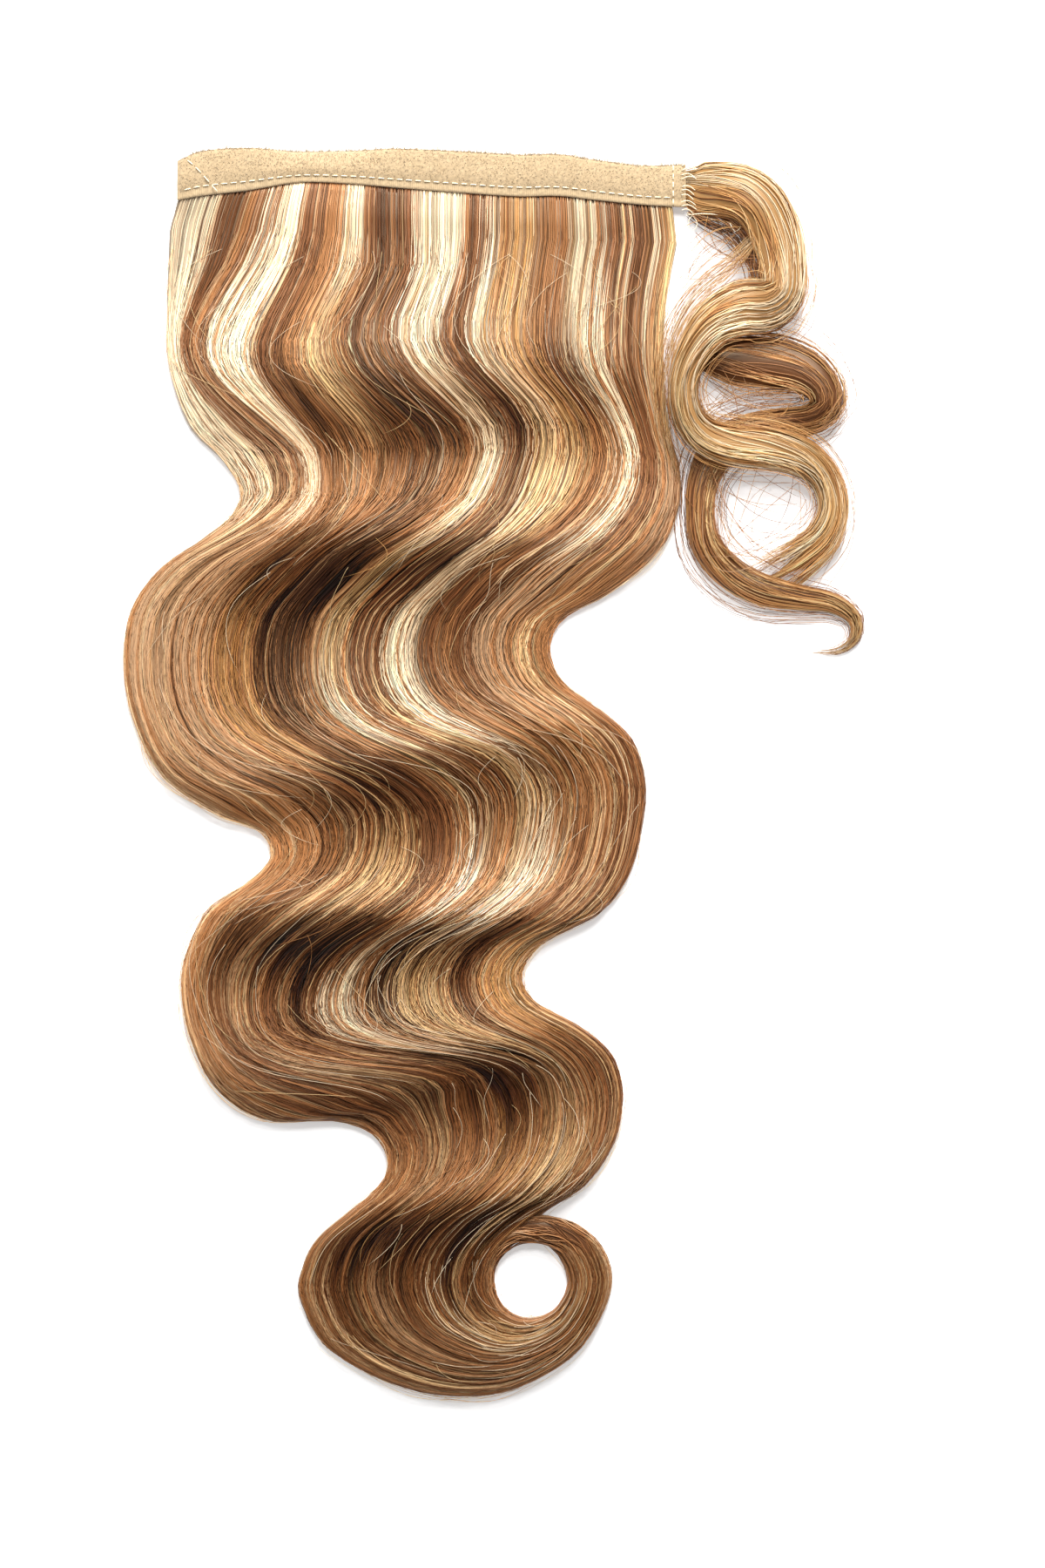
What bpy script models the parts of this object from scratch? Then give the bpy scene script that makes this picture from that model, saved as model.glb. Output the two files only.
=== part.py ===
"""Wrap-round ponytail hairpiece, lying on a table with its fastening tape at the far side.

Four pieces: the loop tape, the long wavy fall of hair fused to its sewn weft, the curled tress that wraps round
the ponytail's base, and the hook patch on the back. Metres, +Z up, +Y from the tips towards the tape. The origin
is the middle of the whole piece's footprint, on the table.
"""

from collections import namedtuple

import bmesh
import bpy
import numpy as np

# Loop tape: a woven ground with plain selvedges and a raised pile.
TAPE_LENGTH = 0.193
TAPE_WIDTH = 0.016
TAPE_GROUND = 0.0009
TAPE_PILE = 0.0014
TAPE_SELVEDGE = 0.0028
TAPE_UPPER_SELVEDGE = 0.0006
PILE_END_MARGIN = 0.0016
TAPE_GIVE = 0.08
TAPE_ROLL_START = 0.40
TAPE_EDGE_CLEARANCE = 0.0005

# Fall: the long hair, measured from the tape's lower edge to the lowest point of the end curl.
HAIR_LENGTH = 0.458
HAIR_DEPTH = 0.0165
HAIR_SIDE = 0.0016
LOCK_GROOVE = 0.0020
WEFT_THICKNESS = 0.0028
WEFT_INSET = 0.0012
WEFT_REACH = 0.36
WEFT_END_REACH = 0.92

# Wrapping tress: how far it reaches past the tape's end, back under it, down the table and up from it.
TRESS_REACH = 0.0667
TRESS_TUCK = 0.0066
TRESS_DROP = 0.178
TRESS_LIFT = 0.020
TRESS_WIDTH = 0.0211
TRESS_DEPTH = 0.0130
TRESS_HEAD_LENGTH = 0.0046
TRESS_RIDGE = 0.10

# Hook patch on the back of the tape's right end, where the wound tape closes on its own loops.
HOOK_LENGTH = 0.040
HOOK_WIDTH = 0.0125
HOOK_THICKNESS = 0.0015
HOOK_CORNER = 0.0015
HOOK_END_MARGIN = 0.003
HOOK_RAMP = 0.012

LAYER_GAP = 0.0003
TRESS_ROOT_GAP = 0.0006

# Heights of the stack at the tape, from the table up: hooks, weft, ground, pile.
WEFT_BOTTOM = HOOK_THICKNESS + LAYER_GAP
WEFT_TOP = WEFT_BOTTOM + WEFT_THICKNESS
TAPE_BOTTOM = WEFT_TOP + LAYER_GAP

FALL_STATIONS = 82
TAPE_STATIONS = 44
TRESS_STATIONS = 60
SAMPLES_PER_LOCK = 3
UNDERSIDE_SAMPLES = 7

# The tape's outline from its left end: shares of the tape's length, and of its width above the weft line.
TapeRow = namedtuple("TapeRow", "along upper lower")
TAPE_ROWS = [
    TapeRow(0.000, 0.80, -0.14),
    TapeRow(0.046, 1.03, -0.04),
    TapeRow(0.138, 1.11, 0.09),
    TapeRow(0.238, 1.07, 0.28),
    TapeRow(0.328, 1.08, 0.26),
    TapeRow(0.427, 1.09, 0.16),
    TapeRow(0.557, 1.03, 0.04),
    TapeRow(0.672, 0.95, -0.05),
    TapeRow(0.749, 0.96, -0.04),
    TapeRow(0.826, 0.82, -0.14),
    TapeRow(0.916, 0.69, -0.25),
    TapeRow(1.000, 0.72, -0.31),
]

# Sections across the fall, from the weft down and then round the end curl. Across: shares of the tape's length
# from its left end. Down: shares of the hair's length. Depth: share of the hair's depth.
FallRow = namedtuple("FallRow", "left_across left_down right_across right_down depth")
FALL_ROWS = [
    FallRow(-0.017, 0.029, 0.983, 0.040, 0.42),
    FallRow(-0.022, 0.089, 0.962, 0.089, 0.58),
    FallRow(-0.019, 0.139, 0.957, 0.139, 0.66),
    FallRow(0.022, 0.192, 0.968, 0.193, 0.86),
    FallRow(0.091, 0.222, 0.990, 0.229, 0.84),
    FallRow(0.125, 0.251, 0.986, 0.262, 0.60),
    FallRow(0.080, 0.276, 0.949, 0.296, 0.80),
    FallRow(-0.032, 0.308, 0.850, 0.331, 1.00),
    FallRow(-0.094, 0.344, 0.757, 0.352, 0.74),
    FallRow(-0.109, 0.388, 0.732, 0.377, 0.54),
    FallRow(-0.091, 0.434, 0.761, 0.405, 0.68),
    FallRow(-0.031, 0.483, 0.839, 0.429, 0.98),
    FallRow(0.077, 0.514, 0.897, 0.452, 0.88),
    FallRow(0.166, 0.528, 0.921, 0.483, 0.60),
    FallRow(0.186, 0.546, 0.921, 0.510, 0.52),
    FallRow(0.144, 0.568, 0.894, 0.560, 0.76),
    FallRow(0.060, 0.593, 0.832, 0.596, 0.98),
    FallRow(0.015, 0.629, 0.716, 0.622, 0.62),
    FallRow(0.005, 0.658, 0.677, 0.646, 0.46),
    FallRow(0.021, 0.697, 0.704, 0.669, 0.70),
    FallRow(0.074, 0.742, 0.790, 0.689, 0.94),
    FallRow(0.173, 0.768, 0.850, 0.710, 0.76),
    FallRow(0.332, 0.768, 0.873, 0.732, 0.58),
    FallRow(0.408, 0.788, 0.877, 0.754, 0.50),
    FallRow(0.405, 0.819, 0.860, 0.787, 0.74),
    FallRow(0.340, 0.842, 0.802, 0.822, 0.94),
    FallRow(0.272, 0.867, 0.721, 0.844, 0.62),
    FallRow(0.243, 0.892, 0.641, 0.875, 0.50),
    FallRow(0.238, 0.914, 0.622, 0.900, 0.54),
    FallRow(0.294, 0.957, 0.639, 0.921, 0.64),
    FallRow(0.456, 0.991, 0.673, 0.931, 0.66),
    FallRow(0.610, 0.996, 0.699, 0.932, 0.60),
    FallRow(0.720, 0.980, 0.726, 0.929, 0.54),
    FallRow(0.802, 0.953, 0.750, 0.921, 0.48),
    FallRow(0.856, 0.903, 0.768, 0.901, 0.44),
    FallRow(0.824, 0.866, 0.747, 0.878, 0.36),
    FallRow(0.744, 0.852, 0.713, 0.868, 0.24),
    FallRow(0.700, 0.856, 0.692, 0.862, 0.10),
]

# Locks side by side across the fall: where each ends, as a share of the width, its height as a share of the
# groove, and the share of a lock's width that it drifts sideways.
LockRow = namedtuple("LockRow", "ends height drift")
LOCK_ROWS = [
    LockRow(0.07, 0.1, 0.10),
    LockRow(0.18, 0.7, -0.22),
    LockRow(0.25, 0.0, 0.18),
    LockRow(0.34, 0.5, -0.16),
    LockRow(0.44, -0.2, 0.24),
    LockRow(0.51, 0.6, -0.14),
    LockRow(0.61, 0.1, 0.20),
    LockRow(0.69, 0.8, -0.24),
    LockRow(0.79, -0.1, 0.16),
    LockRow(0.88, 0.5, -0.18),
    LockRow(1.00, 0.0, 0.00),
]

# Centre lines of the tress's two locks. Across: share of the reach right of the tape's end, or of the tuck left
# of it. Down: share of the drop. Lift: share of the tress's lift. Wide and deep: shares of its width and depth.
TressRow = namedtuple("TressRow", "across down lift wide deep")
FRONT_LOCK = [
    TressRow(0.084, 0.005, 0.265, 0.94, 0.34),
    TressRow(0.203, 0.008, 0.400, 0.98, 0.58),
    TressRow(0.332, 0.020, 0.475, 1.00, 0.70),
    TressRow(0.436, 0.052, 0.500, 0.98, 0.72),
    TressRow(0.515, 0.112, 0.480, 0.88, 0.72),
    TressRow(0.560, 0.176, 0.460, 0.72, 0.84),
    TressRow(0.554, 0.226, 0.580, 0.62, 0.96),
    TressRow(0.465, 0.250, 0.740, 0.76, 0.80),
    TressRow(0.307, 0.256, 0.850, 0.82, 0.62),
    TressRow(0.129, 0.298, 0.820, 0.60, 0.66),
    TressRow(0.005, 0.363, 0.740, 0.46, 0.80),
    TressRow(-0.380, 0.431, 0.690, 0.42, 0.88),
    TressRow(-0.050, 0.500, 0.640, 0.46, 0.86),
    TressRow(0.094, 0.543, 0.600, 0.56, 0.76),
    TressRow(0.257, 0.562, 0.585, 0.66, 0.64),
    TressRow(0.480, 0.566, 0.560, 0.70, 0.58),
    TressRow(0.668, 0.585, 0.510, 0.60, 0.62),
    TressRow(0.805, 0.626, 0.455, 0.46, 0.78),
    TressRow(0.856, 0.690, 0.405, 0.36, 0.90),
    TressRow(0.800, 0.752, 0.330, 0.42, 0.74),
    TressRow(0.678, 0.793, 0.230, 0.54, 0.48),
    TressRow(0.545, 0.822, 0.155, 0.54, 0.32),
    TressRow(0.450, 0.842, 0.105, 0.34, 0.22),
]
TAIL_LOCK = [
    TressRow(0.520, 0.144, 0.440, 0.30, 0.44),
    TressRow(0.480, 0.209, 0.290, 0.36, 0.52),
    TressRow(0.347, 0.259, 0.235, 0.38, 0.48),
    TressRow(0.188, 0.300, 0.230, 0.34, 0.50),
    TressRow(0.085, 0.338, 0.250, 0.30, 0.58),
    TressRow(0.120, 0.366, 0.300, 0.50, 0.60),
    TressRow(0.257, 0.371, 0.350, 0.84, 0.58),
    TressRow(0.455, 0.374, 0.400, 0.96, 0.56),
    TressRow(0.653, 0.391, 0.425, 0.84, 0.62),
    TressRow(0.792, 0.427, 0.425, 0.56, 0.80),
    TressRow(0.848, 0.468, 0.400, 0.36, 0.88),
    TressRow(0.752, 0.496, 0.300, 0.36, 0.68),
    TressRow(0.554, 0.506, 0.210, 0.42, 0.42),
    TressRow(0.356, 0.519, 0.175, 0.46, 0.34),
    TressRow(0.183, 0.556, 0.175, 0.46, 0.36),
    TressRow(0.090, 0.617, 0.220, 0.38, 0.48),
    TressRow(0.062, 0.691, 0.225, 0.36, 0.56),
    TressRow(0.100, 0.765, 0.205, 0.38, 0.50),
    TressRow(0.233, 0.826, 0.185, 0.42, 0.42),
    TressRow(0.431, 0.866, 0.265, 0.48, 0.34),
    TressRow(0.653, 0.878, 0.210, 0.46, 0.34),
    TressRow(0.842, 0.889, 0.155, 0.38, 0.34),
    TressRow(0.965, 0.922, 0.125, 0.28, 0.34),
    TressRow(0.970, 0.963, 0.105, 0.20, 0.28),
    TressRow(0.876, 0.991, 0.085, 0.14, 0.22),
    TressRow(0.703, 0.993, 0.055, 0.05, 0.10),
]


def clear_scene():
    for obj in list(bpy.data.objects):
        bpy.data.objects.remove(obj)


def smooth_rows(rows, keys, samples):
    """Cubic Hermite curve through the rows, whose tangents span each row's two neighbours, at even steps of keys."""
    rows = np.asarray(rows, float)
    keys = np.asarray(keys, float)
    slopes = np.empty_like(rows)
    slopes[1:-1] = (rows[2:] - rows[:-2]) / (keys[2:] - keys[:-2])[:, None]
    slopes[0] = (rows[1] - rows[0]) / (keys[1] - keys[0])
    slopes[-1] = (rows[-1] - rows[-2]) / (keys[-1] - keys[-2])
    at = np.linspace(keys[0], keys[-1], samples) if np.isscalar(samples) else np.asarray(samples, float)
    span = np.clip(np.searchsorted(keys, at, side="right") - 1, 0, len(keys) - 2)
    width = (keys[span + 1] - keys[span])[:, None]
    s = (at - keys[span])[:, None] / width
    start, end = rows[span], rows[span + 1]
    leave, arrive = slopes[span] * width, slopes[span + 1] * width
    return (
        (2 * s**3 - 3 * s**2 + 1) * start
        + (s**3 - 2 * s**2 + s) * leave
        + (3 * s**2 - 2 * s**3) * end
        + (s**3 - s**2) * arrive
    )


def run_length(points):
    """Distance along a row of points from the first one."""
    steps = np.linalg.norm(np.diff(points, axis=0), axis=1)
    return np.concatenate([[0.0], np.cumsum(steps)])


def loft(name, rings):
    """Closed body through rings of points (station, point, xyz), with both ends capped."""
    stations, count, _ = rings.shape
    body = bmesh.new()
    verts = [[body.verts.new(point) for point in ring] for ring in rings]
    for lower, upper in zip(verts[:-1], verts[1:]):
        for i in range(count):
            j = (i + 1) % count
            body.faces.new((lower[i], lower[j], upper[j], upper[i]))
    body.faces.new(verts[0][::-1])
    body.faces.new(verts[-1])
    bmesh.ops.recalc_face_normals(body, faces=body.faces)
    mesh = bpy.data.meshes.new(name)
    body.to_mesh(mesh)
    body.free()
    obj = bpy.data.objects.new(name, mesh)
    bpy.context.scene.collection.objects.link(obj)
    mesh.shade_smooth()
    mesh.set_sharp_from_angle(angle=np.radians(40))
    return obj


def material(name, colour, roughness):
    made = bpy.data.materials.new(name)
    made.use_nodes = True
    shader = made.node_tree.nodes["Principled BSDF"]
    shader.inputs["Base Color"].default_value = (*colour, 1.0)
    shader.inputs["Roughness"].default_value = roughness
    return made


def tape_edges(along):
    """Upper edge, lower edge and roll of the tape at these shares of its length.

    The roll is how far its free upper edge bends down, and keeps the tape's real width where the photographed
    width across is less: a parabola of depth d over a length h is longer than h by 2 d^2 / (3 h).
    """
    rows = np.array(TAPE_ROWS)
    chord = (rows[:, 1] - rows[:, 2]) * TAPE_WIDTH
    slack = np.clip(TAPE_WIDTH - chord - TAPE_GIVE * TAPE_WIDTH, 0, None)
    roll = np.sqrt(1.5 * slack * (1 - TAPE_ROLL_START) * chord)
    table = np.column_stack([rows[:, 1] * TAPE_WIDTH, rows[:, 2] * TAPE_WIDTH, roll])
    upper, lower, roll = smooth_rows(table, rows[:, 0], along).T
    return upper, lower, np.clip(roll, 0, TAPE_BOTTOM - TAPE_EDGE_CLEARANCE)


def make_loop_tape():
    """Tape swept from left to right: plain selvedges, the pile raised between them, and the rolled upper edge."""
    along = np.linspace(0, 1, TAPE_STATIONS)
    upper, lower, roll = tape_edges(along)
    ends = np.minimum(along, 1 - along) * TAPE_LENGTH
    pile = TAPE_PILE * np.clip(ends / PILE_END_MARGIN, 0.15, 1)
    inner = TAPE_SELVEDGE / TAPE_WIDTH
    outer = 1 - TAPE_UPPER_SELVEDGE / TAPE_WIDTH
    ramp = 0.3 * TAPE_PILE / TAPE_WIDTH
    underside = [(w, 0, 0) for w in (0, 0.2, 0.4, 0.55, 0.7, 0.8, 0.9, 1)]
    top = [(1, 1, 0), (outer, 1, 0)]
    top += [(w, 1, 1) for w in (outer - ramp, 0.86, 0.76, 0.66, 0.54, 0.4, inner + ramp)]
    top += [(inner, 1, 0), (0, 1, 0)]
    section = np.array(underside + top)
    across, on_ground, on_pile = section.T
    rings = np.empty((TAPE_STATIONS, len(section), 3))
    rings[:, :, 0] = (along * TAPE_LENGTH)[:, None]
    rings[:, :, 1] = lower[:, None] + across * (upper - lower)[:, None]
    rolled = np.clip((across - TAPE_ROLL_START) / (1 - TAPE_ROLL_START), 0, 1) ** 2
    rings[:, :, 2] = TAPE_BOTTOM - roll[:, None] * rolled + on_ground * TAPE_GROUND + on_pile * pile[:, None]
    return loft("loop_tape", rings)


def fall_edges():
    """Left edge, right edge and depth of the fall at its even stations, from the section table."""
    rows = np.array(FALL_ROWS)
    left = np.column_stack([rows[:, 0] * TAPE_LENGTH, -rows[:, 1] * HAIR_LENGTH])
    right = np.column_stack([rows[:, 2] * TAPE_LENGTH, -rows[:, 3] * HAIR_LENGTH])
    keys = run_length((left + right) / 2)
    table = np.column_stack([left, right, rows[:, 4] * HAIR_DEPTH])
    fine = smooth_rows(table, keys, FALL_STATIONS)
    return fine[:, 0:2], fine[:, 2:4], fine[:, 4]


def lock_shares():
    """Share across the fall, share across its lock, lock height and drift for each point of the top surface."""
    starts = [0.0] + [lock.ends for lock in LOCK_ROWS[:-1]]
    points = [
        (start + (lock.ends - start) * step / SAMPLES_PER_LOCK, step / SAMPLES_PER_LOCK, lock.height, lock.drift)
        for start, lock in zip(starts, LOCK_ROWS)
        for step in range(SAMPLES_PER_LOCK)
    ]
    points.append((1.0, 0.0, 0.0, 0.0))
    return np.array(points).T


def make_hair_fall():
    """Fall of hair fused to its sewn weft.

    Each station is one ring: a crowned top grooved between its locks, and a flat underside that lies on the table.
    The first two stations are the weft's flat bundle under the tape.
    """
    left, right, depth = fall_edges()
    stations = np.linspace(0, 1, FALL_STATIONS)
    share, in_lock, height, drift = lock_shares()
    edge = np.minimum(share, 1 - share)
    wander = drift * np.sin(2 * np.pi * (3.5 * stations[:, None] + 2.1 * share)) * np.clip(edge / 0.05, 0, 1)
    u = share + wander / len(LOCK_ROWS)
    crown = np.sqrt(np.clip(1 - (2 * share - 1) ** 2, 0, 1)) ** 0.8
    groove = LOCK_GROOVE * (np.sin(np.pi * in_lock) - 0.7 + 0.8 * height) * np.clip(edge / 0.04, 0, 1)
    fullness = np.clip(depth / (0.4 * HAIR_DEPTH), 0, 1)[:, None]
    top = np.empty((FALL_STATIONS, len(share), 3))
    top[:, :, :2] = left[:, None, :] * (1 - u)[:, :, None] + right[:, None, :] * u[:, :, None]
    side = np.minimum(HAIR_SIDE, 0.5 * depth)[:, None]
    top[:, :, 2] = side + (depth[:, None] - side) * crown + groove * fullness

    below_share = np.linspace(0.985, 0.015, UNDERSIDE_SAMPLES)[None, :]
    below = np.zeros((FALL_STATIONS, UNDERSIDE_SAMPLES, 3))
    below[:, :, :2] = (
        left[:, None, :] * (1 - below_share)[:, :, None] + right[:, None, :] * below_share[:, :, None]
    )
    rings = np.concatenate([top, below], axis=1)
    rings = np.concatenate([weft_rings(share), rings])
    return loft("hair_fall", rings)


def weft_rings(share):
    """Two flat rings under the tape: the sewn bundle that the locks leave from, at its upper and lower edge.

    It lies along the stitched lower edge, and widens to the whole tape over the hook patch.
    """
    below_share = np.linspace(1.0, 0.0, UNDERSIDE_SAMPLES)
    start = WEFT_INSET
    end = TAPE_LENGTH - TRESS_HEAD_LENGTH - TRESS_ROOT_GAP
    patch = TAPE_LENGTH - TRESS_HEAD_LENGTH - HOOK_END_MARGIN - HOOK_LENGTH
    rings = []
    for at_upper_edge in (True, False):
        ring = []
        for shares, level in ((share, WEFT_TOP), (below_share, WEFT_BOTTOM)):
            x = start + shares * (end - start)
            upper, lower, _ = tape_edges(x / TAPE_LENGTH)
            widened = np.clip((x - patch + HOOK_RAMP) / HOOK_RAMP, 0, 1)
            reach = WEFT_REACH + (WEFT_END_REACH - WEFT_REACH) * widened
            y = lower + reach * (upper - lower) if at_upper_edge else lower
            ring.append(np.column_stack([x, y, np.full_like(x, level)]))
        rings.append(np.concatenate(ring))
    return np.array(rings)


def tress_centre(rows):
    """Centre points of a lock of the tress in the tape's frame, and its half width and half depth there."""
    rows = np.array(rows)
    reach = np.where(rows[:, 0] >= 0, rows[:, 0] * TRESS_REACH, rows[:, 0] * TRESS_TUCK)
    middle = (TAPE_ROWS[-1].upper + TAPE_ROWS[-1].lower) / 2 * TAPE_WIDTH
    points = np.column_stack([TAPE_LENGTH + reach, middle - rows[:, 1] * TRESS_DROP, rows[:, 2] * TRESS_LIFT])
    sizes = np.column_stack([rows[:, 3] * TRESS_WIDTH / 2, rows[:, 4] * TRESS_DEPTH / 2])
    return np.column_stack([points, sizes])


def sewn_head_rows():
    """The tress's flat root: it lies under the tape's end and stands a little past it."""
    x = TAPE_LENGTH - TRESS_HEAD_LENGTH
    middle = (TAPE_ROWS[-1].upper + TAPE_ROWS[-1].lower) / 2 * TAPE_WIDTH
    height = (WEFT_BOTTOM + WEFT_TOP) / 2
    half_wide = TAPE_WIDTH / 2 - WEFT_INSET
    half_deep = WEFT_THICKNESS / 2
    return np.array([[px, middle, height, half_wide, half_deep] for px in (x, TAPE_LENGTH + 0.0004)])


def make_lock(name, rows, sides, lobes, square_rows=0):
    """Lock swept along its centre line: an ellipse across the path with shallow lobes for its strands.

    The first square_rows of the table keep a squarer section, for a sewn and pressed end.
    """
    keys = run_length(rows[:, :3])
    fine = smooth_rows(rows, keys, TRESS_STATIONS)
    at = np.linspace(0, keys[-1], TRESS_STATIONS)
    forward = np.gradient(fine[:, :2], axis=0)
    forward /= np.linalg.norm(forward, axis=1)[:, None]
    beside = np.column_stack([-forward[:, 1], forward[:, 0]])
    angle = np.arange(sides) * 2 * np.pi / sides
    lobe = 1 + TRESS_RIDGE * np.cos(lobes * angle)
    rings = np.empty((TRESS_STATIONS, sides, 3))
    limit = keys[square_rows - 1] if square_rows else -1.0
    for i in range(TRESS_STATIONS):
        x, y, z, wide, deep = fine[i]
        cos, sin = np.cos(angle), np.sin(angle)
        if at[i] <= limit:
            grow = 1 / np.maximum(np.abs(cos), np.abs(sin))
            radial = np.minimum(grow, 1.25)
            flat_cos, flat_sin = np.clip(cos * radial, -1, 1), np.clip(sin * radial, -1, 1)
        else:
            flat_cos, flat_sin = cos * lobe, sin * lobe
        rings[i, :, 0] = x + beside[i, 0] * flat_cos * wide
        rings[i, :, 1] = y + beside[i, 1] * flat_cos * wide
        rings[i, :, 2] = z + flat_sin * deep
    return loft(name, rings)


def make_wrap_tress():
    """Curled tress: the front lock with its sewn head, and the tail lock that leaves it and ends in a hook."""
    front = np.concatenate([sewn_head_rows(), tress_centre(FRONT_LOCK)])
    tress = make_lock("wrap_tress", front, sides=16, lobes=5, square_rows=2)
    tail = make_lock("tail_lock", tress_centre(TAIL_LOCK), sides=14, lobes=4)
    tail.hide_render = True
    tail.display_type = "WIRE"
    join = tress.modifiers.new("fuse_tail", "BOOLEAN")
    join.operation = "UNION"
    join.object = tail
    return tress, tail


def make_hook_patch():
    """Plain rectangular patch under the weft, with rounded corners."""
    centre_x = TAPE_LENGTH - TRESS_HEAD_LENGTH - HOOK_END_MARGIN - HOOK_LENGTH / 2
    upper, lower, _ = tape_edges(np.array([centre_x / TAPE_LENGTH]))
    body = bmesh.new()
    bmesh.ops.create_cube(body, size=1.0)
    bmesh.ops.scale(body, vec=(HOOK_LENGTH, HOOK_WIDTH, HOOK_THICKNESS), verts=body.verts)
    upright = [e for e in body.edges if abs(e.verts[0].co.z - e.verts[1].co.z) > HOOK_THICKNESS / 2]
    bmesh.ops.bevel(body, geom=upright, offset=HOOK_CORNER, segments=4, affect="EDGES", profile=0.5)
    mesh = bpy.data.meshes.new("hook_patch")
    body.to_mesh(mesh)
    body.free()
    obj = bpy.data.objects.new("hook_patch", mesh)
    bpy.context.scene.collection.objects.link(obj)
    obj.location = (centre_x, float(upper[0] + lower[0]) / 2, HOOK_THICKNESS / 2)
    return obj


def seat_on_origin(pieces, extra):
    """Moves everything so that the middle of the footprint is the origin and the lowest point is on the table."""
    bpy.context.view_layer.update()
    corners = []
    for obj in [*pieces, *extra]:
        co = np.empty(len(obj.data.vertices) * 3, np.float32)
        obj.data.vertices.foreach_get("co", co)
        corners.append(co.reshape(-1, 3) + np.array(obj.location))
    corners = np.concatenate(corners)
    low, high = corners.min(axis=0), corners.max(axis=0)
    shift = ((low[0] + high[0]) / 2, (low[1] + high[1]) / 2, low[2])
    for obj in [*pieces, *extra]:
        obj.location = [place - offset for place, offset in zip(obj.location, shift)]


def main():
    clear_scene()
    tape = make_loop_tape()
    fall = make_hair_fall()
    tress, tail = make_wrap_tress()
    hooks = make_hook_patch()
    tape.data.materials.append(material("beige_nylon_loop", (0.83, 0.70, 0.46), 0.95))
    hair = material("highlighted_human_hair", (0.55, 0.36, 0.19), 0.42)
    fall.data.materials.append(hair)
    tress.data.materials.append(hair)
    tail.data.materials.append(hair)
    hooks.data.materials.append(material("beige_nylon_hook", (0.78, 0.68, 0.50), 0.60))
    seat_on_origin([tape, fall, tress, hooks], [tail])


main()
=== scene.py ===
"""Looks of the wrap-round ponytail hairpiece: streaked human hair in waved strands, brushed loop tape, sewn thread.

The tables and formulas of the fall, the tape and the tress repeat the CAD source's own, so that each piece sits in
the space its solid holds. Where one differs, its comment says so. Lengths are in metres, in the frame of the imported
model.
"""

from collections import namedtuple

import bpy
import numpy as np
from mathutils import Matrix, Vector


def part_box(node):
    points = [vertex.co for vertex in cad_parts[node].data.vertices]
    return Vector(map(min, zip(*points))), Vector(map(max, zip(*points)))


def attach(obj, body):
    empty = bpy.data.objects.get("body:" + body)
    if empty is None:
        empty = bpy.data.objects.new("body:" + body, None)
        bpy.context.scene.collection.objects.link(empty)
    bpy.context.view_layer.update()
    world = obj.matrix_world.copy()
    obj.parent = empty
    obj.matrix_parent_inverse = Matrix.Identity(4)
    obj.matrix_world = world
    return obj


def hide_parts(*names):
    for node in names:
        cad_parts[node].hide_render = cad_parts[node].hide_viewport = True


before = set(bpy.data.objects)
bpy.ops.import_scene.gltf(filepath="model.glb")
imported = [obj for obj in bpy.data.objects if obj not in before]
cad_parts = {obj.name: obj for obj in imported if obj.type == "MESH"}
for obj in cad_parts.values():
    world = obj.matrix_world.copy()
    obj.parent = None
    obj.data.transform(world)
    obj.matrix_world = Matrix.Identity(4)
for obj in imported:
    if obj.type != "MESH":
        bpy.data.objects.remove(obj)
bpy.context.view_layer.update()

MM = 0.001

# Loop tape, as in the CAD source.
TAPE_LENGTH = 0.193
TAPE_WIDTH = 0.016
TAPE_GROUND = 0.0009
TAPE_PILE = 0.0014
TAPE_SELVEDGE = 0.0028
PILE_END_MARGIN = 0.0016
TAPE_GIVE = 0.08
TAPE_ROLL_START = 0.40
TAPE_EDGE_CLEARANCE = 0.0005
TAPE_BOTTOM = 0.0049
WEFT_TOP = 0.0046
WEFT_MIDDLE = 0.0032
WEFT_INSET = 0.0012
WEFT_THICKNESS = 0.0028
TapeRow = namedtuple("TapeRow", "along upper lower")
TAPE_ROWS = [TapeRow(*row) for row in (
    (0.000, 0.80, -0.14), (0.046, 1.03, -0.04), (0.138, 1.11, 0.09), (0.238, 1.07, 0.28),
    (0.328, 1.08, 0.26), (0.427, 1.09, 0.16), (0.557, 1.03, 0.04), (0.672, 0.95, -0.05),
    (0.749, 0.96, -0.04), (0.826, 0.82, -0.14), (0.916, 0.69, -0.25), (1.000, 0.72, -0.31),
)]

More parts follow.
